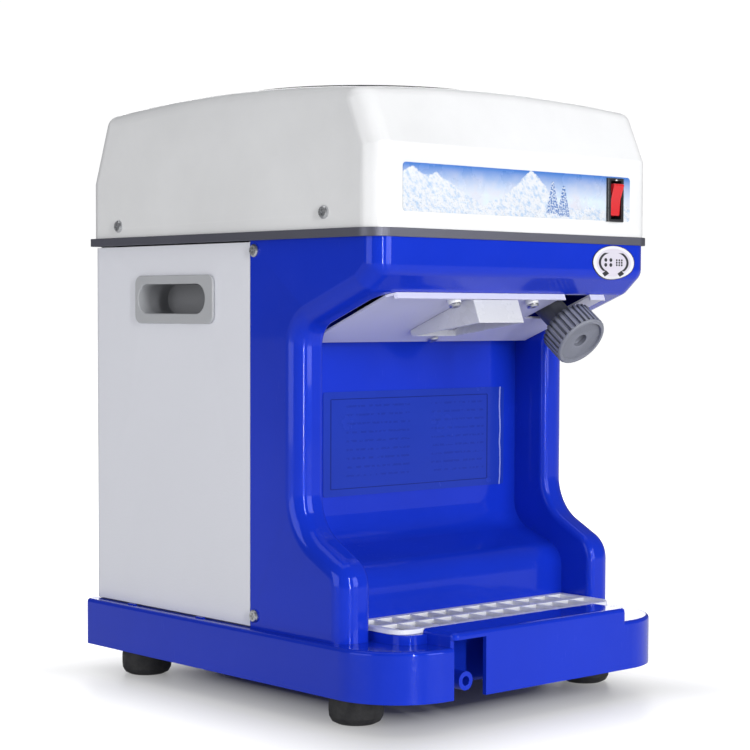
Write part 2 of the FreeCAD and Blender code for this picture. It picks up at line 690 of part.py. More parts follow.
def top_cover():
    outer = cover_block("Cover", "0")
    inner = cover_block("CoverInner", "2.6")
    shell_of = cut("CoverShell", outer, inner)
    collar = rod("Collar", "feed_radius", "crown_top - 2.6 - collar_foot",
                 ("0", "crown_middle", "collar_foot"))
    solid = join("CoverSolid", [shell_of, collar])
    holes = [rod("FeedHole", "feed_radius - 3", "60", ("0", "crown_middle", "collar_foot - 5")),
             box("SwitchHole", ("switch_across - 6.9", "switch_across + 6.8"),
                 ("cover_front - 5", "cover_front + 8"), ("switch_level - 13.9", "switch_level + 13.8"))]
    for i, (label, along, level) in enumerate(COVER_SCREWS):
        holes.append(rod(f"CoverScrewHole{i}", "2.2", "cover_half * 2 + 4",
                         ("-cover_half - 2", along, level), RIGHT))
    keep("top_cover", cut("TopCover", solid, *holes))
    screws = []
    for label, along, level in COVER_SCREWS:
        for side, sign in SIDES.items():
            across = "cover_half + 0.05" if sign > 0 else "-(cover_half + 0.05)"
            screws.append(screw(f"{label}_{side}", (across, along, level), RIGHT * sign, "4.2", "1.7",
                                "9"))
    group("cover_screws", screws)


# ---- lid and its hinge ----

def lid():
    disc = rod("LidDisc", "lid_radius", "40", ("0", "crown_middle", "390"))
    disc = common("LidTopSide", disc, crown_ball("LidTopBall", "0.3 + lid_thick"))
    disc = rounded("LidRim", disc, 1.4, lambda e: e.Length > 500 and e.BoundBox.ZMin > 400)
    plug = cut("LidPlug", rod("PlugOuter", "plug_radius", "crown_top + 0.3 - 393",
                              ("0", "crown_middle", "393")),
               rod("PlugInner", "plug_radius - 2.5", "16", ("0", "crown_middle", "392")))
    disc = cut("LidDiscShell", disc, crown_ball("LidUnderBall", "0.3"))
    grip = box("LidGrip", ("-30", "30"), ("crown_middle - 7", "crown_middle + 7"),
               ("crown_top + 1", "crown_top + 4.8"))
    grip = rounded("LidGripRound", grip, 2.2, lambda e: e.BoundBox.ZMin > size("crown_top") + 4)
    knuckle = rod("LidKnuckle", "3.8", "24", ("-12", "hinge_back", "hinge_level"), RIGHT)
    arm = box("LidArm", ("-12", "12"), ("hinge_back - 12", "hinge_back"),
              ("hinge_level - 3.2", "hinge_level"))
    solid = join("LidSolid", [disc, plug, grip, knuckle, arm])
    keep("lid", cut("Lid", solid, rod("LidPinHole", "2.06", "30", ("-15", "hinge_back", "hinge_level"),
                                      RIGHT)))


def lid_hinge():
    base = box("HingeBase", ("-22", "22"), ("hinge_back + 5", "hinge_back + 18"),
               ("crown_top - 6", "hinge_level - 2"))
    lugs = [box(f"HingeLug{i}", across, ("hinge_back - 4", "hinge_back + 8"),
                ("crown_top - 6", "hinge_level + 4"))
            for i, across in enumerate((("-17", "-12.5"), ("12.5", "17")))]
    lugs = [rounded(f"HingeLugRound{i}", lug, 3.4, lambda e: e.BoundBox.YLength < 0.01
                    and e.BoundBox.ZLength < 0.01 and e.BoundBox.ZMin > size("hinge_level") + 3)
            for i, lug in enumerate(lugs)]
    solid = join("HingeSolid", [base] + lugs)
    hole = rod("HingeHole", "2.06", "50", ("-25", "hinge_back", "hinge_level"), RIGHT)
    keep("lid_hinge_bracket", cut("HingeBracket", solid, crown_ball("HingeBall", "0.05"), hole))
    pin = new_body("HingePin", ("-18.5", "hinge_back", "hinge_level"), RIGHT)
    revolve(pin, [("0", "-1.5"), ("3.4", "-1.5"), ("3.4", "1.3"), ("2", "1.3"), ("2", "37.5"),
                  ("0", "37.5")])
    keep("lid_hinge_pin", pin)


# ---- hopper, cutter disc and shaft line ----

def hopper_and_shaft():
    spin = ("0", "shaft_spot", "0")
    drum = new_body("HopperDrum", spin)
    inner = "hopper_radius - hopper_thick"
    revolve(drum, [(inner, "deck_top + 0.1"), ("hopper_radius + 8", "deck_top + 0.1"),
                   ("hopper_radius + 8", "deck_top + 2.6"), ("hopper_radius", "deck_top + 2.6"),
                   ("hopper_radius", "hopper_top"), (inner, "hopper_top")])
    keep("hopper_drum", drum)
    disc = rod("CutterDisc", f"{inner} - 0.5", "plate_thick", ("0", "shaft_spot", "deck_top + 0.1"))
    slot = box("CutterSlot", ("slot_left + 10", "1"), ("slot_front - 0.5", "slot_back + 0.5"),
               ("deck_top - 1", "deck_top + 9"))
    keep("blade_plate",
         cut("CutterPlate", disc, slot,
             rod("CutterHole", "8", "9", ("0", "shaft_spot", "deck_top - 1"))))
    blades = [rod("ImpellerHub", "16", "36", ("0", "shaft_spot", "deck_top + 4.9"))]
    for i in range(3):
        paddle = doc.addObject("Part::Box", f"Paddle{i}")
        turn = 90 + 120 * i
        reach = VECTOR(2 * math.sin(math.radians(turn)), -2 * math.cos(math.radians(turn)), 0)
        paddle.Placement = FreeCAD.Placement(reach, FreeCAD.Rotation(UP, turn))
        bind(paddle, Length="hopper_radius - 6", Width="4", Height="50",
             Placement__Base__y=f"shaft_spot + ({reach.y:.4f})", Placement__Base__z="deck_top + 4.9")
        blades.append(paddle)
    bore = rod("ImpellerBore", "shaft_radius + 0.04", "60", ("0", "shaft_spot", "deck_top"))
    nut_room = rod("NutRoom", "12.5", "20", ("0", "shaft_spot", "deck_top + 40.9"))
    keep("impeller", cut("Impeller", join("ImpellerSolid", blades), bore, nut_room))
    nut = doc.addObject("Part::Prism", "NutPrism")
    bind(nut, Polygon="6", Circumradius="11", Height="12", Placement__Base__y="shaft_spot",
         Placement__Base__z="deck_top + 41")
    keep("impeller_nut", cut("ImpellerNut", nut, rod("NutBore", "shaft_radius + 0.04", "8",
                                                     ("0", "shaft_spot", "deck_top + 40"))))
    shaft = new_body("MainShaft", spin)
    revolve(shaft, [("0", "belt_foot - 8"), ("shaft_radius - 1", "belt_foot - 8"),
                    ("shaft_radius", "belt_foot - 7"),
                    ("shaft_radius", "deck_top + 46.6"), ("0", "deck_top + 46.6")])
    keep("main_shaft", shaft)
    for label, foot in (("upper_bearing", "296.2"), ("lower_bearing", "286.2")):
        keep(label, ring_plate(label + "_ring", spin, UP, "14", "shaft_radius + 0.03", foot,
                               f"{foot} + 8"))
    housing = new_body("BearingHousing", spin)
    revolve(housing, [("8.4", "284.2"), ("20", "284.2"), ("20", "299.5"), ("24", "299.5"),
                      ("24", "deck_foot - 0.1"),
                      ("14.05", "deck_foot - 0.1"), ("14.05", "286.1"), ("8.4", "286.1")])
    keep("bearing_housing", housing)


# ---- belt drive and motor ----

def pulley(label, along, radius, bore, web):
    body = new_body(label + "_body", ("0", along, "0"))
    points = [(bore, "belt_foot - 2"), (f"{radius} + 3", "belt_foot - 2"),
              (f"{radius} + 3", "belt_foot - 0.3"),
              (radius, "belt_foot - 0.3"), (radius, "belt_top + 0.3"),
              (f"{radius} + 3", "belt_top + 0.3"),
              (f"{radius} + 3", "belt_top + 2")]
    if web:
        points += [(f"{radius} - 4", "belt_top + 2"), (f"{radius} - 4", "belt_foot + 7"),
                   ("14", "belt_foot + 7"),
                   ("14", "belt_top + 6"), (bore, "belt_top + 6")]
    else:
        points += [(bore, "belt_top + 2")]
    revolve(body, points)
    keep(label, body)


def belt_loop(name, grow):
    """A tall slab whose outline is the loop round both pulleys."""
    body = new_body(name)
    lean = "(driven_radius - motor_pulley_radius) / (motor_spot - shaft_spot)"
    flat = f"sqrt(1 - ({lean}) * ({lean}))"
    big, small = f"(driven_radius + {grow})", f"(motor_pulley_radius + {grow})"
    tall = "belt_top - belt_foot"
    pad(body, circles(body, "XY_Plane", [("0", "shaft_spot")], big, "belt_foot"), tall)
    pad(body, circles(body, "XY_Plane", [("0", "motor_spot")], small, "belt_foot"), tall)
    ends = [(f"{big} * {flat}", f"shaft_spot + {big} * ({lean})"),
            (f"{small} * {flat}", f"motor_spot + {small} * ({lean})")]
    corners = [ends[0], ends[1], (f"-{ends[1][0]}", ends[1][1]), (f"-{ends[0][0]}", ends[0][1])]
    pad(body, outline(body, "XY_Plane", corners, "belt_foot"), tall)
    return body


def drive():
    pulley("driven_pulley", "shaft_spot", "driven_radius", "shaft_radius + 0.04", True)
    pulley("motor_pulley", "motor_spot", "motor_pulley_radius", "5.04", False)
    keep("drive_belt", cut("DriveBelt", belt_loop("BeltOuter", "0.3 + belt_thick"),
                           belt_loop("BeltInner", "0.3")))
    at_motor = ("0", "motor_spot", "0")
    shaft = new_body("MotorShaft", at_motor)
    revolve(shaft, [("0", "motor_top - 40"), ("5", "motor_top - 40"), ("5", "belt_top + 3"),
                    ("4", "belt_top + 4"), ("0", "belt_top + 4")])
    keep("motor_shaft", shaft)
    motor = new_body("MotorHousing", at_motor)
    outer = "motor_radius"
    revolve(motor, [("0", "motor_foot"), (f"{outer} - 8", "motor_foot"), (f"{outer}", "motor_foot + 7"),
                    (outer, "motor_foot + 30"), (f"{outer} - 3", "motor_foot + 32"),
                    (f"{outer} - 3", "motor_top - 34"),
                    (outer, "motor_top - 32"), (outer, "motor_top - 7"), (f"{outer} - 8", "motor_top"),
                    ("5.06", "motor_top"), ("5.06", "motor_top - 40.2"), ("0", "motor_top - 40.2")])
    keep("motor_housing", motor)
    sheet_top = "motor_top + 3.2"
    plate = box("BracketPlate", ("-75", "75"), ("motor_spot - 62", "motor_spot + 62"),
                ("motor_top + 0.2", sheet_top))
    walls = []
    for side, sign in SIDES.items():
        wall_x = ("72", "75") if sign > 0 else ("-75", "-72")
        foot_x = ("72", "90") if sign > 0 else ("-90", "-72")
        walls.append(box(f"BracketWall{side}", wall_x, ("motor_spot - 62", "motor_spot + 62"),
                         (f"{sheet_top} - 3", "deck_foot - 0.1")))
        walls.append(box(f"BracketFoot{side}", foot_x, ("motor_spot - 62", "motor_spot + 62"),
                         ("deck_foot - 3.1", "deck_foot - 0.1")))
    solid = join("BracketSolid", [plate] + walls)
    keep("motor_bracket",
         cut("MotorBracket", solid, rod("BracketHole", "12", "20", ("0", "motor_spot", "motor_top - 5")),
                              rod("BracketWireHole", "8", "30", ("60", "60", "motor_top - 10"))))


# ---- blade and its carrier ----

BLADE_SPOT = ("slot_left - 1", "slot_front", "deck_top - 10.9")
BLADE_TURN = FreeCAD.Rotation(BACK, -30)


def along_blade(local):
    """A point given along, across and above the blade, in the machine's own frame."""
    base = VECTOR(size("slot_left") - 1, size("slot_front"), size("deck_top") - 10.9)
    return base + BLADE_TURN.multVec(local)


def blade_set():
    steel = doc.addObject("Part::Box", "BladeSteel")
    steel.Placement = FreeCAD.Placement(VECTOR(), BLADE_TURN)
    bind(steel, Length="25", Width="slot_back - slot_front", Height="2",
         Placement__Base__x=BLADE_SPOT[0],
         Placement__Base__y=BLADE_SPOT[1], Placement__Base__z=BLADE_SPOT[2])
    doc.recompute()
    ground = [i for i, edge in enumerate(steel.Shape.Edges, start=1)
              if edge.BoundBox.XMin > along_blade(VECTOR(25, 0, 0)).x - 0.01]
    edge = doc.addObject("Part::Chamfer", "BladeEdge")
    edge.Base = steel
    edge.Edges = [(i, 1.7, 1.7) for i in ground]
    axis = BLADE_TURN.multVec(UP)
    screws, blade_holes, seat_holes = [], [], []
    for i, along in enumerate((10, 36)):
        spot = along_blade(VECTOR(3.6, along, 2))
        place = tuple(f"{value:.4f}" for value in (spot.x, spot.y, spot.z))
        screws.append(screw(f"blade_screw{i}", place, axis, "2.6", "1.2", "8"))
        deep = spot - axis * 9
        foot = tuple(f"{value:.4f}" for value in (deep.x, deep.y, deep.z))
        blade_holes.append(rod(f"BladeHole{i}", "1.35", "12", foot, axis))
        seat_holes.append(rod(f"SeatHole{i}", "1.35", "12", foot, axis))
    keep("blade", cut("Blade", edge, *blade_holes))
    group("blade_screws", screws)
    seat = new_body("CarrierSeat")
    top = "deck_top - 11.25"
    ramp = [("-46", "291"), ("-25", "291"), ("-25", f"{top} + 3.46"), ("slot_left - 1", top),
            ("-46", top)]
    pad(seat, outline(seat, "XZ_Plane", ramp, "-(slot_back + slot_front) / 2"),
        "slot_back - slot_front - 2", both=True)
    bar = box("CarrierBar", ("-46", "80"), ("duct_back + 1", "duct_back + 10"), ("291", "296"))
    link = box("CarrierLink", ("-46", "-34"), ("slot_back - 4", "duct_back + 6"), ("291", "296"))
    keep("blade_carrier", cut("BladeCarrier", join("CarrierSolid", [seat, bar, link]), *seat_holes))


# ---- snow duct, chute and spout ----

def duct_block(name, inset, foot, roof):
    """The duct's wide part in side view: upright in front, its back wall leaning towards the spout."""
    body = new_body(name)
    front, heel, back = f"duct_front + {inset}", f"duct_heel - {inset}", f"duct_back - {inset}"
    side_view = [(front, foot), (heel, foot), (heel, "250"), (back, "280"), (back, roof), (front, roof)]
    middle = "(duct_left + duct_right) / 2"
    pad(body, outline(body, "YZ_Plane", side_view, middle), f"duct_right - duct_left - 2 * ({inset})",
        both=True)
    return body


def snow_duct():
    wide = duct_block("DuctWide", "0", "230", "284")
    hollow = duct_block("DuctHollow", "duct_wall", "220", "282.5")
    along = ("duct_front", "duct_back")
    neck = box("DuctNeck", ("neck_left", "duct_right"), along, ("283", "deck_foot - 0.3"))
    clear = ("duct_front + duct_wall", "duct_back - duct_wall")
    throat = box("DuctThroat", ("neck_left + duct_wall", "duct_right - duct_wall"), clear,
                 ("280", "deck_foot + 4"))
    under = chute_body("DuctUnder")
    pad(under, rectangle(under, "XY_Plane", ("-60", "60"), ("-30", "140"), "-70"), "70.2")
    keep("snow_duct", cut("SnowDuct", join("DuctSolid", [wide, neck]), hollow, throat, under))


def chute():
    body = chute_body("ChutePlate")
    long = f"(chute_back - lip_front) * {STRETCH}"
    top = "-0.15"
    wide = ("-chute_half", "chute_half")
    pad(body, rectangle(body, "XY_Plane", wide, ("0.3", long), f"{top} - chute_thick"), "chute_thick")
    pad(body, rectangle(body, "XY_Plane", wide, ("0.3", "0.3 + chute_thick"), f"{top} - 4"), "4")
    pocket(body, rectangle(body, "XY_Plane", ("57", "82"), ("-1", "42"), "2"), "8")
    for side in ("-", ""):
        corner = [(f"{side}(chute_half + 1)", "-1"), (f"{side}(chute_half + 1)", "6.3"),
                  (f"{side}(chute_half - 6.3)", "-1")]
        pocket(body, outline(body, "XY_Plane", corner, "2"), "8")
    mouth = ("duct_left + duct_wall", "duct_right - duct_wall")
    pocket(body, rectangle(body, "XY_Plane", mouth, ("15", "53"), "2"), "8")
    fixings = [(str(across), "spacer_spot") for across in SPACER_ACROSS] + [("4", "79")]
    pocket(body, circles(body, "XY_Plane", fixings, "2", "2"), "8")
    keep("chute_plate", body)
    under = f"{top} - chute_thick - 0.1"
    spout(under)
    rings, screws = [], []
    for i, across in enumerate(SPACER_ACROSS):
        ring = chute_body(f"Spacer{i}")
        spot = [(str(across), "spacer_spot")]
        pad(ring, circles(ring, "XY_Plane", spot, "4.4", f"{under} - spacer_tall"), "spacer_tall")
        pocket(ring, circles(ring, "XY_Plane", spot, "2.1", f"{under} - spacer_tall - 1"),
               "spacer_tall + 2", back=True)
        rings.append(ring)
    group("chute_spacers", rings)
    low = -1.85 - size("spacer_tall")
    fixings = [(across, size("spacer_spot"), low, "11")
               for across in SPACER_ACROSS] + [(4, 79, -1.75, "5")]
    for i, (across, along, level, long) in enumerate(fixings):
        spot = on_chute(across, along, level)
        place = tuple(f"{value:.4f}" for value in (spot.x, spot.y, spot.z))
        screws.append(screw(f"chute_screw{i}", place, -PLATE_UP, "4", "1.8", long))
    group("chute_screws", screws)


def spout(under):
    """A trough open below, deepest in front, whose side walls rise to a low back wall."""
    body = chute_body("ChuteSpout")
    front, back = "0.5", "spout_long"
    lip = "-4.35"
    side_view = [(front, lip), ("2", lip), ("2", under), (back, under), (back, "spout_shallow"),
                 (front, "spout_deep")]
    middle = "(spout_right + spout_left) / 2"
    wide = "spout_right - spout_left"
    pad(body, outline(body, "YZ_Plane", side_view, middle), wide, both=True)
    hollow = rectangle(body, "YZ_Plane", ("2", "spout_long - spout_wall"),
                       ("spout_deep - 5", f"{under} + 1"), middle)
    pocket(body, hollow, f"{wide} - 2 * spout_wall", both=True)
    keep("chute_spout", body)


# ---- thickness adjuster ----

KNOB_AXIS = VECTOR(0, math.sin(math.radians(size("knob_tilt"))),
                   math.cos(math.radians(size("knob_tilt"))))
KNOB_SPOT = ("knob_across", "knob_face_back", "knob_face_level")


def adjuster():
    knob = new_body("AdjustingKnob", KNOB_SPOT, KNOB_AXIS)
    rim, tall, neck = "knob_radius", "knob_tall", "neck_radius"
    groove = "knob_radius - 0.9"
    revolve(knob, [("0", "5"), ("5", "5"), ("5", "1.8"), ("6.2", "1.6"), (f"{rim} - 3", "1.6"),
                   (f"{rim} - 2.4", "0"),
                   (f"{rim} - 0.6", "0"), (f"{rim} + 0.3", "0.8"), (f"{rim} + 0.3", "1.6"),
                   (groove, "1.6"),
                   (groove, f"{tall} - 1"), (f"{groove} - 1", tall), (neck, tall), (neck, "neck_end"),
                   ("screw_radius + 0.03", "neck_end"), ("screw_radius + 0.03", "30"), ("0", "30")])
    rib = pad(knob, rectangle(knob, "XY_Plane", (f"{rim} - 1.5", f"{rim} + 0.7"), ("-1", "1"), "1.4"),
              f"{tall} - 2.6")
    spread(knob, rib, 30)
    keep("adjusting_knob", knob)
    stem = new_body("AdjusterScrew", KNOB_SPOT, KNOB_AXIS)
    revolve(stem, [("0", "30.2"), ("screw_radius", "30.2"), ("screw_radius", "76.5"),
                   ("screw_radius - 1", "77.5"), ("0", "77.5")])
    keep("adjuster_screw", stem)
    wedge = new_body("AdjusterWedge", KNOB_SPOT, KNOB_AXIS)
    pad(wedge, rectangle(wedge, "XY_Plane", ("-9", "9"), ("-6", "6"), "79.2"), "9.2")
    keep("adjuster_wedge", wedge)
    block = box("BracketBlock", ("58", "84"), ("-88", "-74.5"), ("264", "deck_foot - 0.1"))
    bore = new_body("BracketBore", KNOB_SPOT, KNOB_AXIS)
    pad(bore, circles(bore, "XY_Plane", [("0", "0")], "screw_radius + 0.3", "30"), "70")
    keep("adjuster_bracket", cut("AdjusterBracket", block, bore))


# ---- switch, label and stickers ----

def switch():
    middle, level = "switch_across", "switch_level"
    face = "cover_front"
    bezel = box("SwitchBezel", (f"{middle} - switch_wide / 2", f"{middle} + switch_wide / 2"),
                (f"{face} - 2.2", f"{face} - 0.5"),
                (f"{level} - switch_tall / 2", f"{level} + switch_tall / 2"))
    bezel = rounded("SwitchBezelRound", bezel, 0.9,
                    lambda e: e.BoundBox.YMax < size("cover_front") - 2.1)
    case = box("SwitchCase", (f"{middle} - 6.5", f"{middle} + 6.5"), (f"{face} - 0.6", f"{face} + 24"),
               (f"{level} - 13.6", f"{level} + 13.5"))
    well = box("SwitchWell", (f"{middle} - 5.3", f"{middle} + 5.3"), (f"{face} - 5", f"{face} + 12"),
               (f"{level} - 13", f"{level} + 12.95"))
    pivot_hole = rod("RockerHole", "1.56", "12.4", (f"{middle} - 6.2", face, level), RIGHT)
    keep("switch_body", cut("SwitchBody", join("SwitchSolid", [bezel, case]), well, pivot_hole))
    rocker = new_body("SwitchRocker", ("0", face, level))
    profile = [("-5.6", "11.2"), ("-1.9", "0.5"), ("-0.9", "-11.2"), ("5", "-9"), ("7.5", "0"),
               ("5", "9.5")]
    pad(rocker, outline(rocker, "YZ_Plane", profile, middle), "10", both=True)
    dress(rocker, "Fillet", "1.2", lambda e: e.BoundBox.XLength > 9 and e.BoundBox.YMax < 0
          and abs(e.BoundBox.ZMin) > 9)
    pivot = rod("RockerPivot", "1.5", "12", (f"{middle} - 6", face, level), RIGHT)
    keep("switch_rocker", join("SwitchRockerSolid", [rocker, pivot]))
    tabs = [box(f"SwitchTab{i}", (f"{middle} - 2.4", f"{middle} + 2.4"),
                (f"{face} + 24.1", f"{face} + 33"), (f"{level} + ({lift})", f"{level} + ({lift}) + 0.8"))
            for i, lift in enumerate(("-9", "-0.4", "8.2"))]
    group("switch_terminals", tabs)


def signs():
    face = "cover_front"
    card = box("LabelCard", ("-label_half", "label_half"), (f"{face} - 0.45", f"{face} - 0.05"),
               ("label_foot", "label_top"))
    card = rounded("LabelRound", card, 2.5, lambda e: e.BoundBox.XLength < 0.01
                   and e.BoundBox.ZLength < 0.01)
    window = box("LabelWindow", ("switch_across - 6.9", "switch_across + 6.9"),
                 (f"{face} - 3", f"{face} + 3"), ("switch_level - 14.2", "switch_level + 13.9"))
    keep("front_label", cut("FrontLabel", card, window))
    grown = housing_prism("StickerOuter", "-0.45", "body_wide", "0")
    inner = housing_prism("StickerInner", "-0.05", "body_wide + 4", "1")
    oval = doc.addObject("Part::Ellipse", "StickerOval")
    oval.Placement = FreeCAD.Placement(VECTOR(), FreeCAD.Rotation(RIGHT, 90))
    bind(oval, MajorRadius="21.5", MinorRadius="11.6", Placement__Base__x="89.8",
         Placement__Base__y="nose_front + 12", Placement__Base__z="293.3")
    plug = doc.addObject("Part::Extrusion", "StickerPlug")
    plug.Base = oval
    plug.DirMode = "Custom"
    plug.Dir = -BACK
    plug.Solid = True
    bind(plug, LengthFwd="20")
    keep("adjust_sticker", common("AdjustSticker", plug, cut("StickerSheet", grown, inner)))
    paper = box("InstructionPaper", ("-80", "90.5"), ("bay_wall - 0.45", "bay_wall - 0.05"),
                ("136", "206"))
    paper = rounded("InstructionRound", paper, 2, lambda e: e.BoundBox.XLength < 0.01
                    and e.BoundBox.ZLength < 0.01)
    keep("instruction_sheet", paper)


# ---- side frames, capacitor and cord gland ----

def frames():
    screws = []
    for side, sign in SIDES.items():
        def across(low, high):
            return (low, high) if sign > 0 else (f"-({high})", f"-({low})")
        span = across("post_inner", "post_outer")
        posts = [box(f"FramePost{side}{i}", span, along, ("base_top + 0.1", "deck_foot - 0.1"))
                 for i, along in enumerate((("-31.5", "-13.5"), ("140", "158")))]
        rails = [box(f"FrameRail{side}{i}", across("post_outer - 2.5", "post_outer"), ("-14", "141"),
                     (low, f"{low} + 12"))
                 for i, low in enumerate(("288", "base_top + 0.1"))]
        solid = join(f"{side}FrameSolid", posts + rails)
        holes = [rod(f"{side}FrameHole{i}", "1.9", "body_wide", ("-body_wide / 2", "-23.5", level),
                     RIGHT) for i, level in enumerate(("60", "299"))]
        keep(f"{side}_frame", cut(f"{side}Frame", solid, *holes))
        for i, level in enumerate(("60", "299")):
            spot = "body_wide / 2 + 0.05" if sign > 0 else "-(body_wide / 2 + 0.05)"
            screws.append(screw(f"body_screw_{side}{i}", (spot, "-23.5", level), RIGHT * sign, "4.2",
                                "1.7", "14"))
    group("body_screws", screws)


def electrics():
    can = new_body("Capacitor", ("-85", "125", "base_top + 0.2"))
    revolve(can, [("0", "0"), ("16.5", "0"), ("17.5", "1"), ("17.5", "67"), ("16", "70"), ("13", "70"),
                  ("13", "68"), ("0", "68")])
    keep("capacitor", can)
    strap = ring_plate("ClampRing", ("-85", "125", "base_top"), UP, "19.5", "17.7", "26", "38")
    leg = box("ClampLeg", ("-85 - 5", "-85 + 5"), ("125 - 21.5", "125 - 18.5"),
              ("base_top + 0.1", "base_top + 38"))
    toe = box("ClampToe", ("-85 - 5", "-85 + 5"), ("125 - 32", "125 - 19"),
              ("base_top + 0.1", "base_top + 2.1"))
    keep("capacitor_clamp", join("CapacitorClamp", [strap, leg, toe]))
    gland = new_body("CableGland", ("gland_across", "panel_back", "gland_level"), BACK)
    revolve(gland, [("3.5", "-13"), ("7.9", "-13"), ("7.9", "0.1"), ("11", "0.1"), ("11", "1.4"),
                    ("10.2", "2"), ("3.5", "2")])
    keep("cable_gland", gland)
    nut = doc.addObject("Part::Prism", "GlandNutPrism")
    nut.Placement = FreeCAD.Placement(VECTOR(), FreeCAD.Rotation(UP, -BACK))
    bind(nut, Polygon="6", Circumradius="12.5", Height="5", Placement__Base__x="gland_across",
         Placement__Base__y="panel_back - panel_thick - 0.1", Placement__Base__z="gland_level")
    keep("gland_nut",
         cut("GlandNut", nut, rod("GlandNutBore", "8.2", "12", ("gland_across", "panel_back - 10",
                                                                "gland_level"), BACK)))


# ---- build, check and export ----

base_tray()
drip_grid()
feet()
front_housing()
rear_panel()
for side_name, side_sign in SIDES.items():
    handle_cup(side_name, side_sign)
deck_plate()
top_cover()
lid()
lid_hinge()
hopper_and_shaft()
drive()
blade_set()
snow_duct()
chute()
adjuster()
switch()
signs()
frames()
electrics()
doc.recompute()

for item in doc.Objects:
    if "Invalid" in item.State or "Error" in item.State:
        raise RuntimeError(f"{item.Name} did not recompute: {item.State}")
for label, item in nodes.items():
    if item.Shape.isNull() or not item.Shape.isValid() or item.Shape.Volume < 1:
        raise RuntimeError(f"{label} has no sound shape")

os.makedirs("parts", exist_ok=True)
for label, item in nodes.items():
    item.Shape.exportStep(f"parts/{label}.step")
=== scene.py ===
import json
import math

import bmesh
import bpy
from mathutils import Matrix, Vector


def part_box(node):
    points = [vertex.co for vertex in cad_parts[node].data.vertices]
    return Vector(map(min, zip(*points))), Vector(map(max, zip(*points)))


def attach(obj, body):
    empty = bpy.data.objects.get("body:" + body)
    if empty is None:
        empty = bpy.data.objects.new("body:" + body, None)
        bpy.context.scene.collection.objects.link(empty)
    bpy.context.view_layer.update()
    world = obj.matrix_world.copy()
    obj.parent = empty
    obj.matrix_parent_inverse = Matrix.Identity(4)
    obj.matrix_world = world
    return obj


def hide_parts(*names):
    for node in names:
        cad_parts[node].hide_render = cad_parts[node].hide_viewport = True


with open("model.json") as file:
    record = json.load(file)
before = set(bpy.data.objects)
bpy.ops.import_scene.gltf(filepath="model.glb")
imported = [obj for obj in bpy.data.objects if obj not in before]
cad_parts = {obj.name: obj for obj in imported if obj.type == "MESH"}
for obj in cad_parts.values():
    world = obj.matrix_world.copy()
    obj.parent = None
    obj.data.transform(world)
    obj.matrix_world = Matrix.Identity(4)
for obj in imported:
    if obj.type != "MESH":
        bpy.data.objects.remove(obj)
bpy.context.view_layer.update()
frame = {"nodes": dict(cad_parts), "record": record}
NODES = frame["nodes"]
SCENE = bpy.context.scene

# ---- camera, floor and light ----

CAMERA_PLACE = Vector((-0.91836, -1.02561, 0.25948))
CAMERA_YAW, CAMERA_PITCH, CAMERA_ROLL = (math.radians(a) for a in (42.07, 2.708, 0.184))
CAMERA_LENS, CAMERA_SENSOR = 93.94, 36.0
CAMERA_SHIFT = (-0.00974, 0.0392)

MIDDLE = Vector((0, 0, 0.22))    # the point that every light faces
WORLD_LIGHT, WORLD_SEEN = 0.13, 1.03    # what the world gives, and how bright it is seen
KEY_POWER, STRIP_POWER, SIDE_POWER, TOP_POWER, REAR_POWER = 26, 30, 20, 17, 16    # watts
FLOOR_HALF, FLOOR_LEVEL = 14.0, -0.0005
FLOOR_BOUNCE = 0.38    # share of the floor's glow that lights the machine
GLOW_START, GLOW_FULL = -0.06, 0.09    # metres outwards from the base's outline over which the floor's glow rises; the unlit floor inside paints part of the machine's shadow


def make_camera():
    """The camera off the machine's left front corner, a little above its middle and turned slightly down."""
    ahead = Vector((math.sin(CAMERA_YAW) * math.cos(CAMERA_PITCH),
                    math.cos(CAMERA_YAW) * math.cos(CAMERA_PITCH), -math.sin(CAMERA_PITCH)))
    level = ahead.cross(Vector((0, 0, 1))).normalized()
    above = level.cross(ahead)
    right = math.cos(CAMERA_ROLL) * level + math.sin(CAMERA_ROLL) * above
    up = -math.sin(CAMERA_ROLL) * level + math.cos(CAMERA_ROLL) * above
    data = bpy.data.cameras.new("camera")
    data.lens, data.sensor_width = CAMERA_LENS, CAMERA_SENSOR
    data.shift_x, data.shift_y = CAMERA_SHIFT
    data.clip_start, data.clip_end = 0.05, 50
    camera = bpy.data.objects.new("camera", data)
    turn = Matrix((right, up, -ahead)).transposed().to_4x4()
    camera.matrix_world = Matrix.Translation(CAMERA_PLACE) @ turn
    SCENE.collection.objects.link(camera)
    SCENE.camera = camera


def area_light(name, place, wide, tall, power):
    """A soft box at a place, turned towards the middle of the machine."""
    data = bpy.data.lights.new(name, "AREA")
    data.shape, data.size, data.size_y = "RECTANGLE", wide, tall
    data.energy = power
    light = bpy.data.objects.new(name, data)
    light.location = place
    light.rotation_euler = (MIDDLE - Vector(place)).to_track_quat("-Z", "Y").to_euler()
    SCENE.collection.objects.link(light)


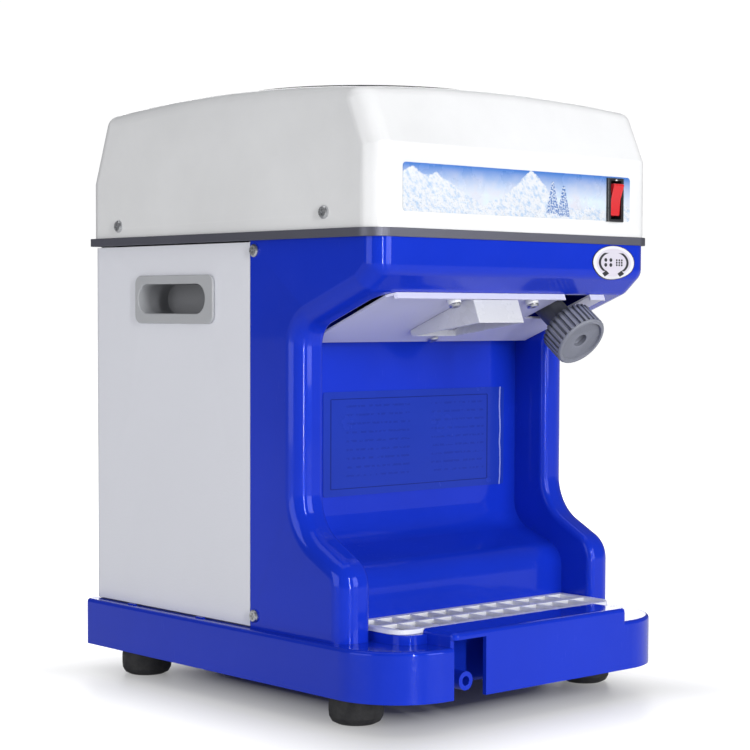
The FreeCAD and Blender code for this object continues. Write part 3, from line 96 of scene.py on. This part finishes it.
def make_light():
    """A dim world that is seen as white, and five soft boxes."""
    world = bpy.data.worlds.new("studio")
    SCENE.world = world
    world.use_nodes = True
    nodes, links = world.node_tree.nodes, world.node_tree.links
    background = nodes["Background"]
    background.inputs["Color"].default_value = (0.93, 0.95, 1.0, 1)
    background.inputs["Strength"].default_value = WORLD_LIGHT
    bright = nodes.new("ShaderNodeBackground")
    bright.inputs["Color"].default_value = (1, 1, 1, 1)
    bright.inputs["Strength"].default_value = WORLD_SEEN
    seen = nodes.new("ShaderNodeLightPath")
    mix = nodes.new("ShaderNodeMixShader")
    links.new(seen.outputs["Is Camera Ray"], mix.inputs[0])
    links.new(background.outputs[0], mix.inputs[1])
    links.new(bright.outputs[0], mix.inputs[2])
    links.new(mix.outputs[0], nodes["World Output"].inputs["Surface"])
    area_light("key", (0.75, -2.4, 0.75), 1.2, 1.3, KEY_POWER)
    area_light("front_strip", (-0.62, -2.1, 0.5), 0.1, 1.5, STRIP_POWER)
    area_light("side_fill", (-2.6, 0.2, 0.6), 1.6, 1.4, SIDE_POWER)
    area_light("overhead", (0.0, 0.1, 2.4), 2.2, 2.2, TOP_POWER)
    area_light("rear_fill", (1.6, 1.8, 1.0), 1.4, 1.2, REAR_POWER)


# ---- node materials ----

class Look:
    """A node material under construction; every method returns an output socket."""

    def __init__(self, name):
        self.material = bpy.data.materials.new(name)
        self.material.use_nodes = True
        self.tree = self.material.node_tree
        self.shader = self.tree.nodes["Principled BSDF"]
        self.place = self.node("ShaderNodeTexCoord").outputs["Object"]

    def node(self, kind, **settings):
        item = self.tree.nodes.new(kind)
        for key, value in settings.items():
            setattr(item, key, value)
        return item

    def feed(self, socket, value):
        if isinstance(value, bpy.types.NodeSocket):
            self.tree.links.new(value, socket)
        else:
            socket.default_value = value

    def math(self, kind, *values):
        item = self.node("ShaderNodeMath", operation=kind)
        for socket, value in zip(item.inputs, values):
            self.feed(socket, value)
        return item.outputs[0]

    def times(self, first, second):
        return self.math("MULTIPLY", first, second)

    def plus(self, first, second):
        return self.math("ADD", first, second)

    def minus(self, first, second):
        return self.math("SUBTRACT", first, second)

    def apart(self, value, spot):
        """How far a value is from a spot, either way."""
        return self.math("ABSOLUTE", self.minus(value, spot))

    def length(self, across, up):
        return self.math("SQRT", self.plus(self.times(across, across), self.times(up, up)))

    def axes(self):
        split = self.node("ShaderNodeSeparateXYZ")
        self.feed(split.inputs[0], self.place)
        return split.outputs[0], split.outputs[1], split.outputs[2]

    def point(self, x, y, z):
        item = self.node("ShaderNodeCombineXYZ")
        for socket, value in zip(item.inputs, (x, y, z)):
            self.feed(socket, value)
        return item.outputs[0]

    def stretched(self, x, y, z):
        item = self.node("ShaderNodeMapping")
        self.feed(item.inputs["Vector"], self.place)
        item.inputs["Scale"].default_value = (x, y, z)
        return item.outputs[0]

    def noise(self, scale, detail=3, rough=0.5, where=None):
        item = self.node("ShaderNodeTexNoise")
        self.feed(item.inputs["Vector"], where or self.place)
        item.inputs["Scale"].default_value = scale
        item.inputs["Detail"].default_value = detail
        item.inputs["Roughness"].default_value = rough
        return item.outputs["Fac"]

    def cells(self, scale):
        item = self.node("ShaderNodeTexVoronoi")
        self.feed(item.inputs["Vector"], self.place)
        item.inputs["Scale"].default_value = scale
        return item.outputs["Distance"]

    def span(self, value, low, high, to_low=0.0, to_high=1.0):
        item = self.node("ShaderNodeMapRange")
        for socket, number in zip(item.inputs, (value, low, high, to_low, to_high)):
            self.feed(socket, number)
        return item.outputs[0]

    def mix(self, share, first, second):
        item = self.node("ShaderNodeMix", data_type="RGBA")
        self.feed(item.inputs[0], share)
        for socket, colour in ((item.inputs[6], first), (item.inputs[7], second)):
            self.feed(socket, colour if isinstance(colour, bpy.types.NodeSocket) else (*colour, 1))
        return item.outputs[2]

    def edges(self, low=0.53, high=0.62):
        """1 on sharp outer edges, from the mesh's own curvature."""
        return self.span(self.node("ShaderNodeNewGeometry").outputs["Pointiness"], low, high)

    def bump(self, height, depth, strength=1.0, under=None):
        item = self.node("ShaderNodeBump")
        item.inputs["Strength"].default_value = strength
        item.inputs["Distance"].default_value = depth
        self.feed(item.inputs["Height"], height)
        if under:
            self.feed(item.inputs["Normal"], under)
        return item.outputs[0]

    def done(self, colour, rough, normal=None, **fixed):
        self.feed(self.shader.inputs["Base Color"], colour
                  if isinstance(colour, bpy.types.NodeSocket) else (*colour, 1))
        self.feed(self.shader.inputs["Roughness"], rough)
        if normal:
            self.feed(self.shader.inputs["Normal"], normal)
        for key, value in fixed.items():
            self.shader.inputs[key.replace("_", " ")].default_value = value
        return self.material


DUST, RUBBER_DUST, RUBBER_BLACK = (0.62, 0.62, 0.63), (0.11, 0.11, 0.11), (0.012, 0.012, 0.014)
PEEL_DEPTH, WAVE_DEPTH, PEBBLE_DEPTH, SAND_DEPTH = 0.00006, 0.0006, 0.00009, 0.00025
COAT_ROUGHNESS = 0.035


def shade(colour, factor):
    """The colour made darker or paler."""
    return tuple(min(1.0, c * factor) for c in colour)


def moulded(name, colour, rough=0.25, dust=0.06, coat=0.0, **gloss):
    """Moulded plastic: a slight flow in its colour, orange peel, marks, fine scratches, and edges paled
    partly as wear, partly as a painted highlight.
    """
    look = Look(name)
    flow = look.noise(9, 4, 0.55)
    tint = look.mix(look.span(flow, 0.35, 0.65), shade(colour, 0.95), shade(colour, 1.05))
    settled = look.times(look.span(look.noise(45, 5, 0.65), 0.52, 0.75), dust)
    tint = look.mix(settled, tint, DUST)
    # Edges paled by curvature: partly wear, partly a painted highlight along them.
    tint = look.mix(look.times(look.edges(), 0.18), tint, shade(colour, 1.5))
    marks = look.span(look.noise(23, 5, 0.6), 0.45, 0.7)
    scratch = look.span(look.noise(60, 2, 0.5, look.stretched(30, 30, 1.2)), 0.66, 0.72)
    level = look.plus(look.math("MULTIPLY_ADD", marks, 0.10, rough - 0.02), look.times(scratch, 0.08))
    skin = look.bump(look.noise(420, 2, 0.5), PEEL_DEPTH)
    skin = look.bump(look.noise(14, 2, 0.5), WAVE_DEPTH, 0.35, skin)
    return look.done(tint, level, skin, Coat_Weight=coat, Coat_Roughness=COAT_ROUGHNESS, **gloss)


def coated(name, colour, rough=0.42, metallic=0.0):
    """Powder-coated sheet metal with its fine pebbled skin."""
    look = Look(name)
    tint = look.mix(look.noise(7, 3), shade(colour, 0.97), shade(colour, 1.03))
    tint = look.mix(look.times(look.span(look.noise(30, 6, 0.7), 0.55, 0.8), 0.07), tint,
                    shade(colour, 0.75))
    # Edges paled by curvature: partly wear, partly a painted highlight along them.
    tint = look.mix(look.times(look.edges(), 0.25), tint, shade(colour, 1.2))
    level = look.span(look.noise(18, 4), 0.3, 0.7, rough - 0.05, rough + 0.07)
    skin = look.bump(look.noise(1100, 3, 0.6), PEBBLE_DEPTH)
    skin = look.bump(look.cells(650), PEBBLE_DEPTH * 0.6, 0.6, skin)
    return look.done(tint, level, skin, Metallic=metallic)


def rubber(name):
    """Black rubber with pale dust."""
    look = Look(name)
    dusty = look.span(look.noise(70, 6, 0.7), 0.45, 0.75, 0, 0.3)
    tint = look.mix(dusty, RUBBER_BLACK, RUBBER_DUST)
    return look.done(tint, look.span(look.noise(40, 3), 0.3, 0.7, 0.55, 0.8),
                     look.bump(look.noise(1500, 3, 0.7), 0.0001))


def metal(name, colour, rough=0.32, brushed=(4, 4, 260), depth=0.00005):
    """Bare metal with drawn lines along one way and small stains."""
    look = Look(name)
    lines = look.noise(6, 5, 0.7, look.stretched(*brushed))
    tint = look.mix(lines, shade(colour, 0.82), shade(colour, 1.1))
    tint = look.mix(look.span(look.noise(65, 5, 0.7), 0.56, 0.78, 0, 0.35), tint, shade(colour, 0.45))
    level = look.span(lines, 0.25, 0.75, rough - 0.08, rough + 0.14)
    return look.done(tint, level, look.bump(lines, depth), Metallic=1.0)


def cast(name, colour=(0.55, 0.56, 0.58)):
    """Cast metal with its sandy grain."""
    look = Look(name)
    grain = look.noise(520, 4, 0.65)
    tint = look.mix(look.noise(25, 5), shade(colour, 0.75), shade(colour, 1.1))
    return look.done(tint, look.span(grain, 0.3, 0.7, 0.42, 0.62), look.bump(grain, SAND_DEPTH),
                     Metallic=0.9)


BLUE = (0.006, 0.030, 0.50)
BLUE_GLOSS = {"IOR": 1.3, "Specular_IOR_Level": 1.0, "Specular_Tint": (0.03, 0.13, 1.0, 1.0)}
MATERIALS = {
    "blue_plastic": lambda: moulded("blue_plastic", BLUE, 0.17, dust=0.003, coat=0.3, **BLUE_GLOSS),
    "white_plastic": lambda: moulded("white_plastic", (0.80, 0.81, 0.84), 0.34),
    "cover_plastic": lambda: moulded("cover_plastic", (0.77, 0.775, 0.785), 0.32, dust=0.04, coat=0.1),
    "black_plastic": lambda: moulded("black_plastic", (0.012, 0.013, 0.016), 0.25),
    "red_plastic": lambda: moulded("red_plastic", (0.62, 0.008, 0.014), 0.2, coat=0.4),
    "clear_white_plastic": lambda: moulded("clear_white_plastic", (0.60, 0.61, 0.65), 0.28),
    "can_plastic": lambda: moulded("can_plastic", (0.70, 0.71, 0.73), 0.35),
    "grey_paint": lambda: coated("grey_paint", (0.76, 0.77, 0.83)),
    "deck_paint": lambda: coated("deck_paint", (0.13, 0.132, 0.165), 0.46, metallic=0.75),
    "chute_paint": lambda: coated("chute_paint", (0.60, 0.605, 0.75)),
    "foot_rubber": lambda: rubber("foot_rubber"),
    "belt_rubber": lambda: rubber("belt_rubber"),
    "brass": lambda: metal("brass", (0.72, 0.55, 0.25)),
    "steel": lambda: metal("steel", (0.62, 0.63, 0.65), 0.26),
    "galvanised": lambda: metal("galvanised", (0.52, 0.54, 0.56), 0.4, (30, 30, 30), 0.0001),
    "cast_aluminium": lambda: cast("cast_aluminium"),
    "motor_shell": lambda: cast("motor_shell", (0.25, 0.26, 0.28)),
}


# ---- printed films, the switch's dot and the knob ----

# Place across the label, height and steepness of each peak; place, foot and top of each tree.
PEAKS = ((0.035, 0.93, 3.0), (0.13, 0.84, 3.4), (0.535, 1.02, 5.2), (0.42, 0.40, 2.2),
         (0.80, 0.30, 1.5), (0.96, 0.42, 2.6))
TREES = ((0.635, 0.10, 0.80), (0.685, 0.05, 0.72))
# The sticker's coarse and fine dots: place across, dots in a row, radius.
DOT_GROUPS = ((-0.26, 2, 0.085), (0.26, 3, 0.05))
# A group's width, the level of its lowest row, and the stretch that keeps its dots round on the oval.
GROUP_WIDE, GROUP_LOW, STICKER_SQUASH = 0.24, -0.14, 0.62
TEXT_BLOCKS = ((0.12, 0.46), (0.58, 0.88))    # the two columns of rows on the clear sheet
# The knob's own axis across the front and up, and how far along it the neck starts.
KNOB_BACK, KNOB_UP, NECK_START, NECK_FULL = 0.788, 0.616, 0.031, 0.034
DOT_RADIUS, DOT_DROP, DOT_FRONT = 0.0009, 0.0017, 0.002    # the switch's white dot
CUP_SHADE_START, CUP_SHADE_FULL = 0.002, 0.010    # depth in the handle cup over which painted shade darkens its hollow


def within(look, value, low, high, soft):
    """1 between two levels, with soft ends."""
    rise = look.span(value, low - soft, low + soft)
    fall = look.span(value, high - soft, high + soft, 1.0, 0.0)
    return look.times(rise, fall)


def across_box(look, node):
    """The place across and up a node's box, 0 to 1 each way."""
    low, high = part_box(node)
    x, _, z = look.axes()
    return look.span(x, low.x, high.x), look.span(z, low.z, high.z)


def either(look, *values):
    """The greatest of the values."""
    total = values[0]
    for value in values[1:]:
        total = look.math("MAXIMUM", total, value)
    return total


def landscape_film():
    """A printed winter view: a blue sky that pales downwards, snow slopes and two frosted trees."""
    look = Look("landscape_film")
    u, v = across_box(look, "front_label")
    plane = look.point(look.times(u, 7.0), look.times(v, 1.0), 0.0)
    sky = look.mix(look.span(v, 0.42, 1.0), (0.66, 0.77, 0.88), (0.010, 0.15, 0.56))
    haze = look.times(look.span(look.noise(1.6, 4, 0.6, plane), 0.40, 0.62), look.span(v, 0.95, 0.45))
    sky = look.mix(look.times(haze, 0.8), sky, (0.66, 0.64, 0.72))
    rough_line = look.times(look.span(look.noise(5.0, 6, 0.7, plane), 0.3, 0.7, -0.5, 0.5), 0.22)
    ridge = look.plus(0.22, rough_line)
    for spot, tall, lean in PEAKS:
        away = look.apart(u, spot)
        peak = look.minus(tall, look.times(away, lean))
        ridge = either(look, ridge, look.plus(peak, look.times(rough_line, 0.5)))
    below = look.span(look.minus(ridge, v), -0.01, 0.02)
    slopes = look.noise(7.0, 6, 0.72, look.point(look.math("MULTIPLY_ADD", u, 9.0, v),
                                                 look.math("MULTIPLY_ADD", u, -2.0, v), 0.3))
    snow = look.mix(look.span(slopes, 0.48, 0.64), (0.74, 0.76, 0.80), (0.38, 0.54, 0.76))
    rocks = look.times(look.span(look.noise(34, 4, 0.7, plane), 0.58, 0.62), look.span(v, 0.7, 0.05))
    snow = look.mix(look.times(rocks, 0.7), snow, (0.04, 0.08, 0.15))
    picture = look.mix(below, sky, snow)
    for spot, foot, tall in TREES:
        away = look.apart(u, spot)
        width = look.span(v, foot, tall, 0.030, 0.004)
        crown = look.times(look.math("LESS_THAN", away, width), within(look, v, foot, tall, 0.01))
        frost = look.span(look.noise(26, 3, 0.6, plane), 0.46, 0.54)
        picture = look.mix(crown, picture, look.mix(frost, (0.02, 0.13, 0.45), (0.64, 0.70, 0.78)))
    return film_skin(look, look.mix(0.08, picture, (0.30, 0.32, 0.34)))


def film_skin(look, colour, rough=0.24):
    """A thin laminated skin over a print: faint waves, and handling marks in its gloss."""
    marks = look.span(look.noise(38, 5, 0.65), 0.45, 0.72, rough, rough + 0.16)
    return look.done(colour, marks, look.bump(look.noise(22, 2), 0.0004, 0.3), Coat_Weight=0.25,
                     Coat_Roughness=0.1)


def arrow_sticker():
    """A pale oval with two turning arrows, and coarse and fine dots for the two ways."""
    look = Look("arrow_sticker")
    u, v = across_box(look, "adjust_sticker")
    x = look.math("MULTIPLY_ADD", u, 2.0, -1.0)
    z = look.math("MULTIPLY_ADD", v, 2.0, -1.0)
    radius = look.length(x, z)
    base = look.mix(look.noise(60, 3), (0.60, 0.57, 0.66), (0.66, 0.63, 0.71))
    base = look.mix(look.span(radius, 0.80, 0.83), base, (0.74, 0.74, 0.78))
    arcs = look.times(within(look, radius, 0.60, 0.71, 0.01), within(look, z, -0.50, 0.56, 0.02))
    marks = [arcs]
    for side in (-1, 1):
        away_x = look.apart(x, side * 0.36)
        away_z = look.minus(z, -0.64)
        head = look.math("LESS_THAN", look.plus(look.times(away_x, 1.1),
                                                look.math("ABSOLUTE", away_z)), 0.18)
        marks.append(head)
    for spot, count, dot in DOT_GROUPS:
        for i in range(count):
            for k in range(count):
                shift = GROUP_WIDE / (count - 1)
                away_x = look.minus(x, spot - GROUP_WIDE / 2 + i * shift)
                away_z = look.times(look.minus(z, GROUP_LOW + k * shift * 1.2), STICKER_SQUASH)
                away = look.length(away_x, away_z)
                marks.append(look.math("LESS_THAN", away, dot * 0.8))
    marks.append(look.math("GREATER_THAN", radius, 0.965))
    return film_skin(look, look.mix(either(look, *marks), base, (0.012, 0.012, 0.018)), 0.32)


def clear_sheet():
    """A clear film on the blue wall: a fine printed frame, faint ruled rows and a lifted, crinkled end."""
    look = Look("clear_sheet")
    u, v = across_box(look, "instruction_sheet")
    tint = look.mix(look.noise(15, 4), (0.010, 0.032, 0.34), (0.014, 0.040, 0.40))
    far_u = look.apart(u, 0.47)
    far_v = look.apart(v, 0.5)
    frame_line = either(look, look.times(within(look, far_u, 0.428, 0.434, 0.001),
                                         look.math("LESS_THAN", far_v, 0.43)),
                        look.times(within(look, far_v, 0.425, 0.434, 0.002),
                                   look.math("LESS_THAN", far_u, 0.43)))
    rows = look.math("GREATER_THAN", look.math("SINE", look.times(v, 75.0)), 0.72)
    words = look.span(look.noise(46, 2, 0.5, look.point(look.times(u, 1.0),
                                                        look.times(v, 0.25), 0.0)), 0.46, 0.5)
    columns = either(look, *(within(look, u, start, end, 0.004) for start, end in TEXT_BLOCKS))
    print_share = look.times(look.times(rows, words),
                             look.times(columns, within(look, v, 0.18, 0.88, 0.01)))
    ink = either(look, frame_line, look.times(print_share, 0.35))
    tint = look.mix(look.times(ink, 0.75), tint, (0.004, 0.010, 0.12))
    wander = look.math("MULTIPLY_ADD", look.noise(55, 4), 0.02, 0.967)
    lifted = look.math("LESS_THAN", look.apart(u, wander), 0.0035)
    tint = look.mix(look.times(lifted, 0.55), tint, (0.45, 0.52, 0.85))
    skin = look.bump(look.noise(90, 4, 0.6), 0.0004, 0.5)
    return look.done(tint, look.span(look.noise(30, 4), 0.3, 0.7, 0.16, 0.30), skin, Coat_Weight=0.2,
                     Coat_Roughness=0.06, **BLUE_GLOSS)


def switch_plastic():
    """Black switch plastic with a small white dot on its upper rim."""
    look = Look("switch_plastic")
    low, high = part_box("switch_body")
    x, y, z = look.axes()
    away_x = look.minus(x, (low.x + high.x) / 2)
    away_z = look.minus(z, high.z - DOT_DROP)
    away = look.length(away_x, away_z)
    dot = look.times(look.math("LESS_THAN", away, DOT_RADIUS),
                     look.math("LESS_THAN", y, low.y + DOT_FRONT))
    black = look.mix(look.noise(40, 4), (0.010, 0.011, 0.014), (0.022, 0.023, 0.027))
    tint = look.mix(dot, black, (0.8, 0.8, 0.8))
    return look.done(tint, look.span(look.noise(60, 4), 0.3, 0.7, 0.24, 0.36),
                     look.bump(look.noise(700, 3), 0.00005))


def knob_look():
    """Slate knob plastic with painted shade in its grooves, darker on its neck, and rib edges paler partly
    from finger wear, partly as a painted highlight.
    """
    look = Look("knob_look")
    low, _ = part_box("adjusting_knob")
    _, y, z = look.axes()
    along = look.plus(look.times(look.minus(y, low.y), KNOB_BACK),
                      look.times(look.minus(z, low.z), KNOB_UP))
    tint = look.mix(look.noise(50, 5, 0.6), (0.165, 0.175, 0.215), (0.20, 0.21, 0.255))
    # Rib edges paler: partly finger wear, partly a painted highlight.
    tint = look.mix(look.span(look.edges(0.50, 0.58), 0, 1, 0, 0.55), tint, (0.34, 0.35, 0.41))
    # Painted shade in the grooves, found by their concave curvature.
    tint = look.mix(look.span(look.edges(0.49, 0.43), 0, 1, 0, 0.75), tint, (0.03, 0.032, 0.045))
    tint = look.mix(look.span(along, NECK_START, NECK_FULL, 0, 0.8), tint, (0.045, 0.048, 0.06))
    level = look.span(look.noise(35, 4), 0.3, 0.7, 0.38, 0.55)
    return look.done(tint, level, look.bump(look.noise(900, 3, 0.6), 0.00009))


def cup_plastic():
    """Grey moulded cup with painted shade darkening it down its hollow, and edges paled partly as wear,
    partly as a painted highlight.
    """
    look = Look("cup_look")
    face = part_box("right_handle_cup")[1].x
    x, _, _ = look.axes()
    deep = look.span(look.math("ABSOLUTE", x), face - CUP_SHADE_START, face - CUP_SHADE_FULL)
    tint = look.mix(look.noise(30, 4, 0.6), (0.42, 0.43, 0.455), (0.47, 0.48, 0.50))
    # Painted shade: darker down the cup's hollow.
    tint = look.mix(look.times(deep, 0.5), tint, (0.06, 0.06, 0.07))
    # Edges paled by curvature: partly wear, partly a painted highlight along them.
    tint = look.mix(look.times(look.edges(), 0.25), tint, (0.62, 0.63, 0.65))
    return look.done(tint, look.span(look.noise(25, 4), 0.3, 0.7, 0.38, 0.5),
                     look.bump(look.noise(600, 3), 0.00007))


SPECIAL = {"front_label": landscape_film, "adjust_sticker": arrow_sticker,
           "instruction_sheet": clear_sheet, "switch_body": switch_plastic, "adjusting_knob": knob_look,
           "left_handle_cup": cup_plastic, "right_handle_cup": cup_plastic}


# ---- the CAD nodes and their softened copies ----

# Edge radius of each node that shows sharp moulded or folded edges, in metres.
SOFT_EDGES = {"deck_plate": 0.0012, "drip_grid": 0.0004, "chute_plate": 0.0006, "chute_spout": 0.0006,
              "left_handle_cup": 0.0007, "right_handle_cup": 0.0007, "adjusting_knob": 0.0003,
              "switch_body": 0.0004, "switch_rocker": 0.0006, "chute_spacers": 0.0005, "lid": 0.0006,
              "lid_hinge_bracket": 0.0006, "cable_gland": 0.0004}
SHARP, CREASE, FLAT = (math.radians(a) for a in (32, 50, 0.6))
WELD = 2e-6
BODY_OF = {node: body for body, names in frame["record"]["behaviour"]["bodies"].items()
           for node in names}
SLOT_OF = {part["node"]: part["material_slot"] for part in frame["record"]["subparts"]}
made = {}


def material_for(name):
    """The node's own look, or that of its material slot; each is made once."""
    key = name if name in SPECIAL else SLOT_OF[name]
    if key not in made:
        made[key] = SPECIAL[name]() if name in SPECIAL else MATERIALS[key]()
    return made[key]


def clean_mesh(name):
    """The node's mesh welded, with its flat faces whole and no stored normals."""
    mesh = bpy.data.meshes.new(name + "_soft")
    work = bmesh.new()
    work.from_mesh(NODES[name].data)
    bmesh.ops.remove_doubles(work, verts=work.verts, dist=WELD)
    bmesh.ops.dissolve_limit(work, angle_limit=FLAT, verts=work.verts, edges=work.edges)
    work.to_mesh(mesh)
    work.free()
    for layer in ("custom_normal", "sharp_face", "sharp_edge"):
        if layer in mesh.attributes:
            mesh.attributes.remove(mesh.attributes[layer])
    return mesh


def soften(name, width):
    """A copy of the node with its sharp edges rounded, which stands in for it."""
    piece = bpy.data.objects.new(name + "_soft", clean_mesh(name))
    SCENE.collection.objects.link(piece)
    bevel = piece.modifiers.new("edge", "BEVEL")
    bevel.width, bevel.segments, bevel.limit_method, bevel.angle_limit = width, 3, "ANGLE", SHARP
    bevel.use_clamp_overlap = True
    level = piece.modifiers.new("normals", "WEIGHTED_NORMAL")
    level.keep_sharp = True
    piece.data.shade_smooth()
    piece.data.set_sharp_from_angle(angle=CREASE)
    bpy.context.view_layer.update()
    ready = bpy.data.meshes.new_from_object(piece.evaluated_get(bpy.context.evaluated_depsgraph_get()))
    piece.modifiers.clear()
    piece.data = ready
    piece.data.materials.clear()
    piece.data.materials.append(material_for(name))
    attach(piece, BODY_OF[name])
    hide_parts(name)


def dress_nodes():
    """Gives every node its material, on itself or on its softened copy."""
    for name, node in NODES.items():
        if name in SOFT_EDGES:
            soften(name, SOFT_EDGES[name])
        else:
            node.data.materials.clear()
            node.data.materials.append(material_for(name))


def make_stage():
    """A pale floor that fades into the white of the surroundings; its glow dies away under and just around
    the base's outline, which paints part of the machine's shadow there.
    """
    mesh = bpy.data.meshes.new("floor")
    corners = [(-1, -1), (1, -1), (1, 1), (-1, 1)]
    mesh.from_pydata([(x * FLOOR_HALF, y * FLOOR_HALF, FLOOR_LEVEL) for x, y in corners], [],
                     [(0, 1, 2, 3)])
    floor = bpy.data.objects.new("floor", mesh)
    SCENE.collection.objects.link(floor)
    look = Look("floor")
    x, y, _ = look.axes()
    _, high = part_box("base_tray")
    beside = look.minus(look.math("ABSOLUTE", x), high.x)
    ahead = look.minus(look.math("ABSOLUTE", y), high.y)
    far = look.math("SMOOTH_MAX", beside, ahead, 0.05)
    look.shader.inputs["Emission Color"].default_value = (1, 1, 1, 1)
    # Painted shadow: no glow under the base, rising to full just outside its outline.
    glow = look.math("POWER", look.span(far, GLOW_START, GLOW_FULL), 0.9)
    straight = look.node("ShaderNodeLightPath").outputs["Is Camera Ray"]
    look.feed(look.shader.inputs["Emission Strength"],
              look.times(glow, look.span(straight, 0, 1, FLOOR_BOUNCE, 1.0)))
    tint = look.mix(look.noise(3, 2), (0.36, 0.36, 0.36), (0.39, 0.39, 0.39))
    mesh.materials.append(look.done(tint, 0.5))


make_camera()
make_light()
make_stage()
dress_nodes()
SCENE.view_settings.view_transform = "Standard"
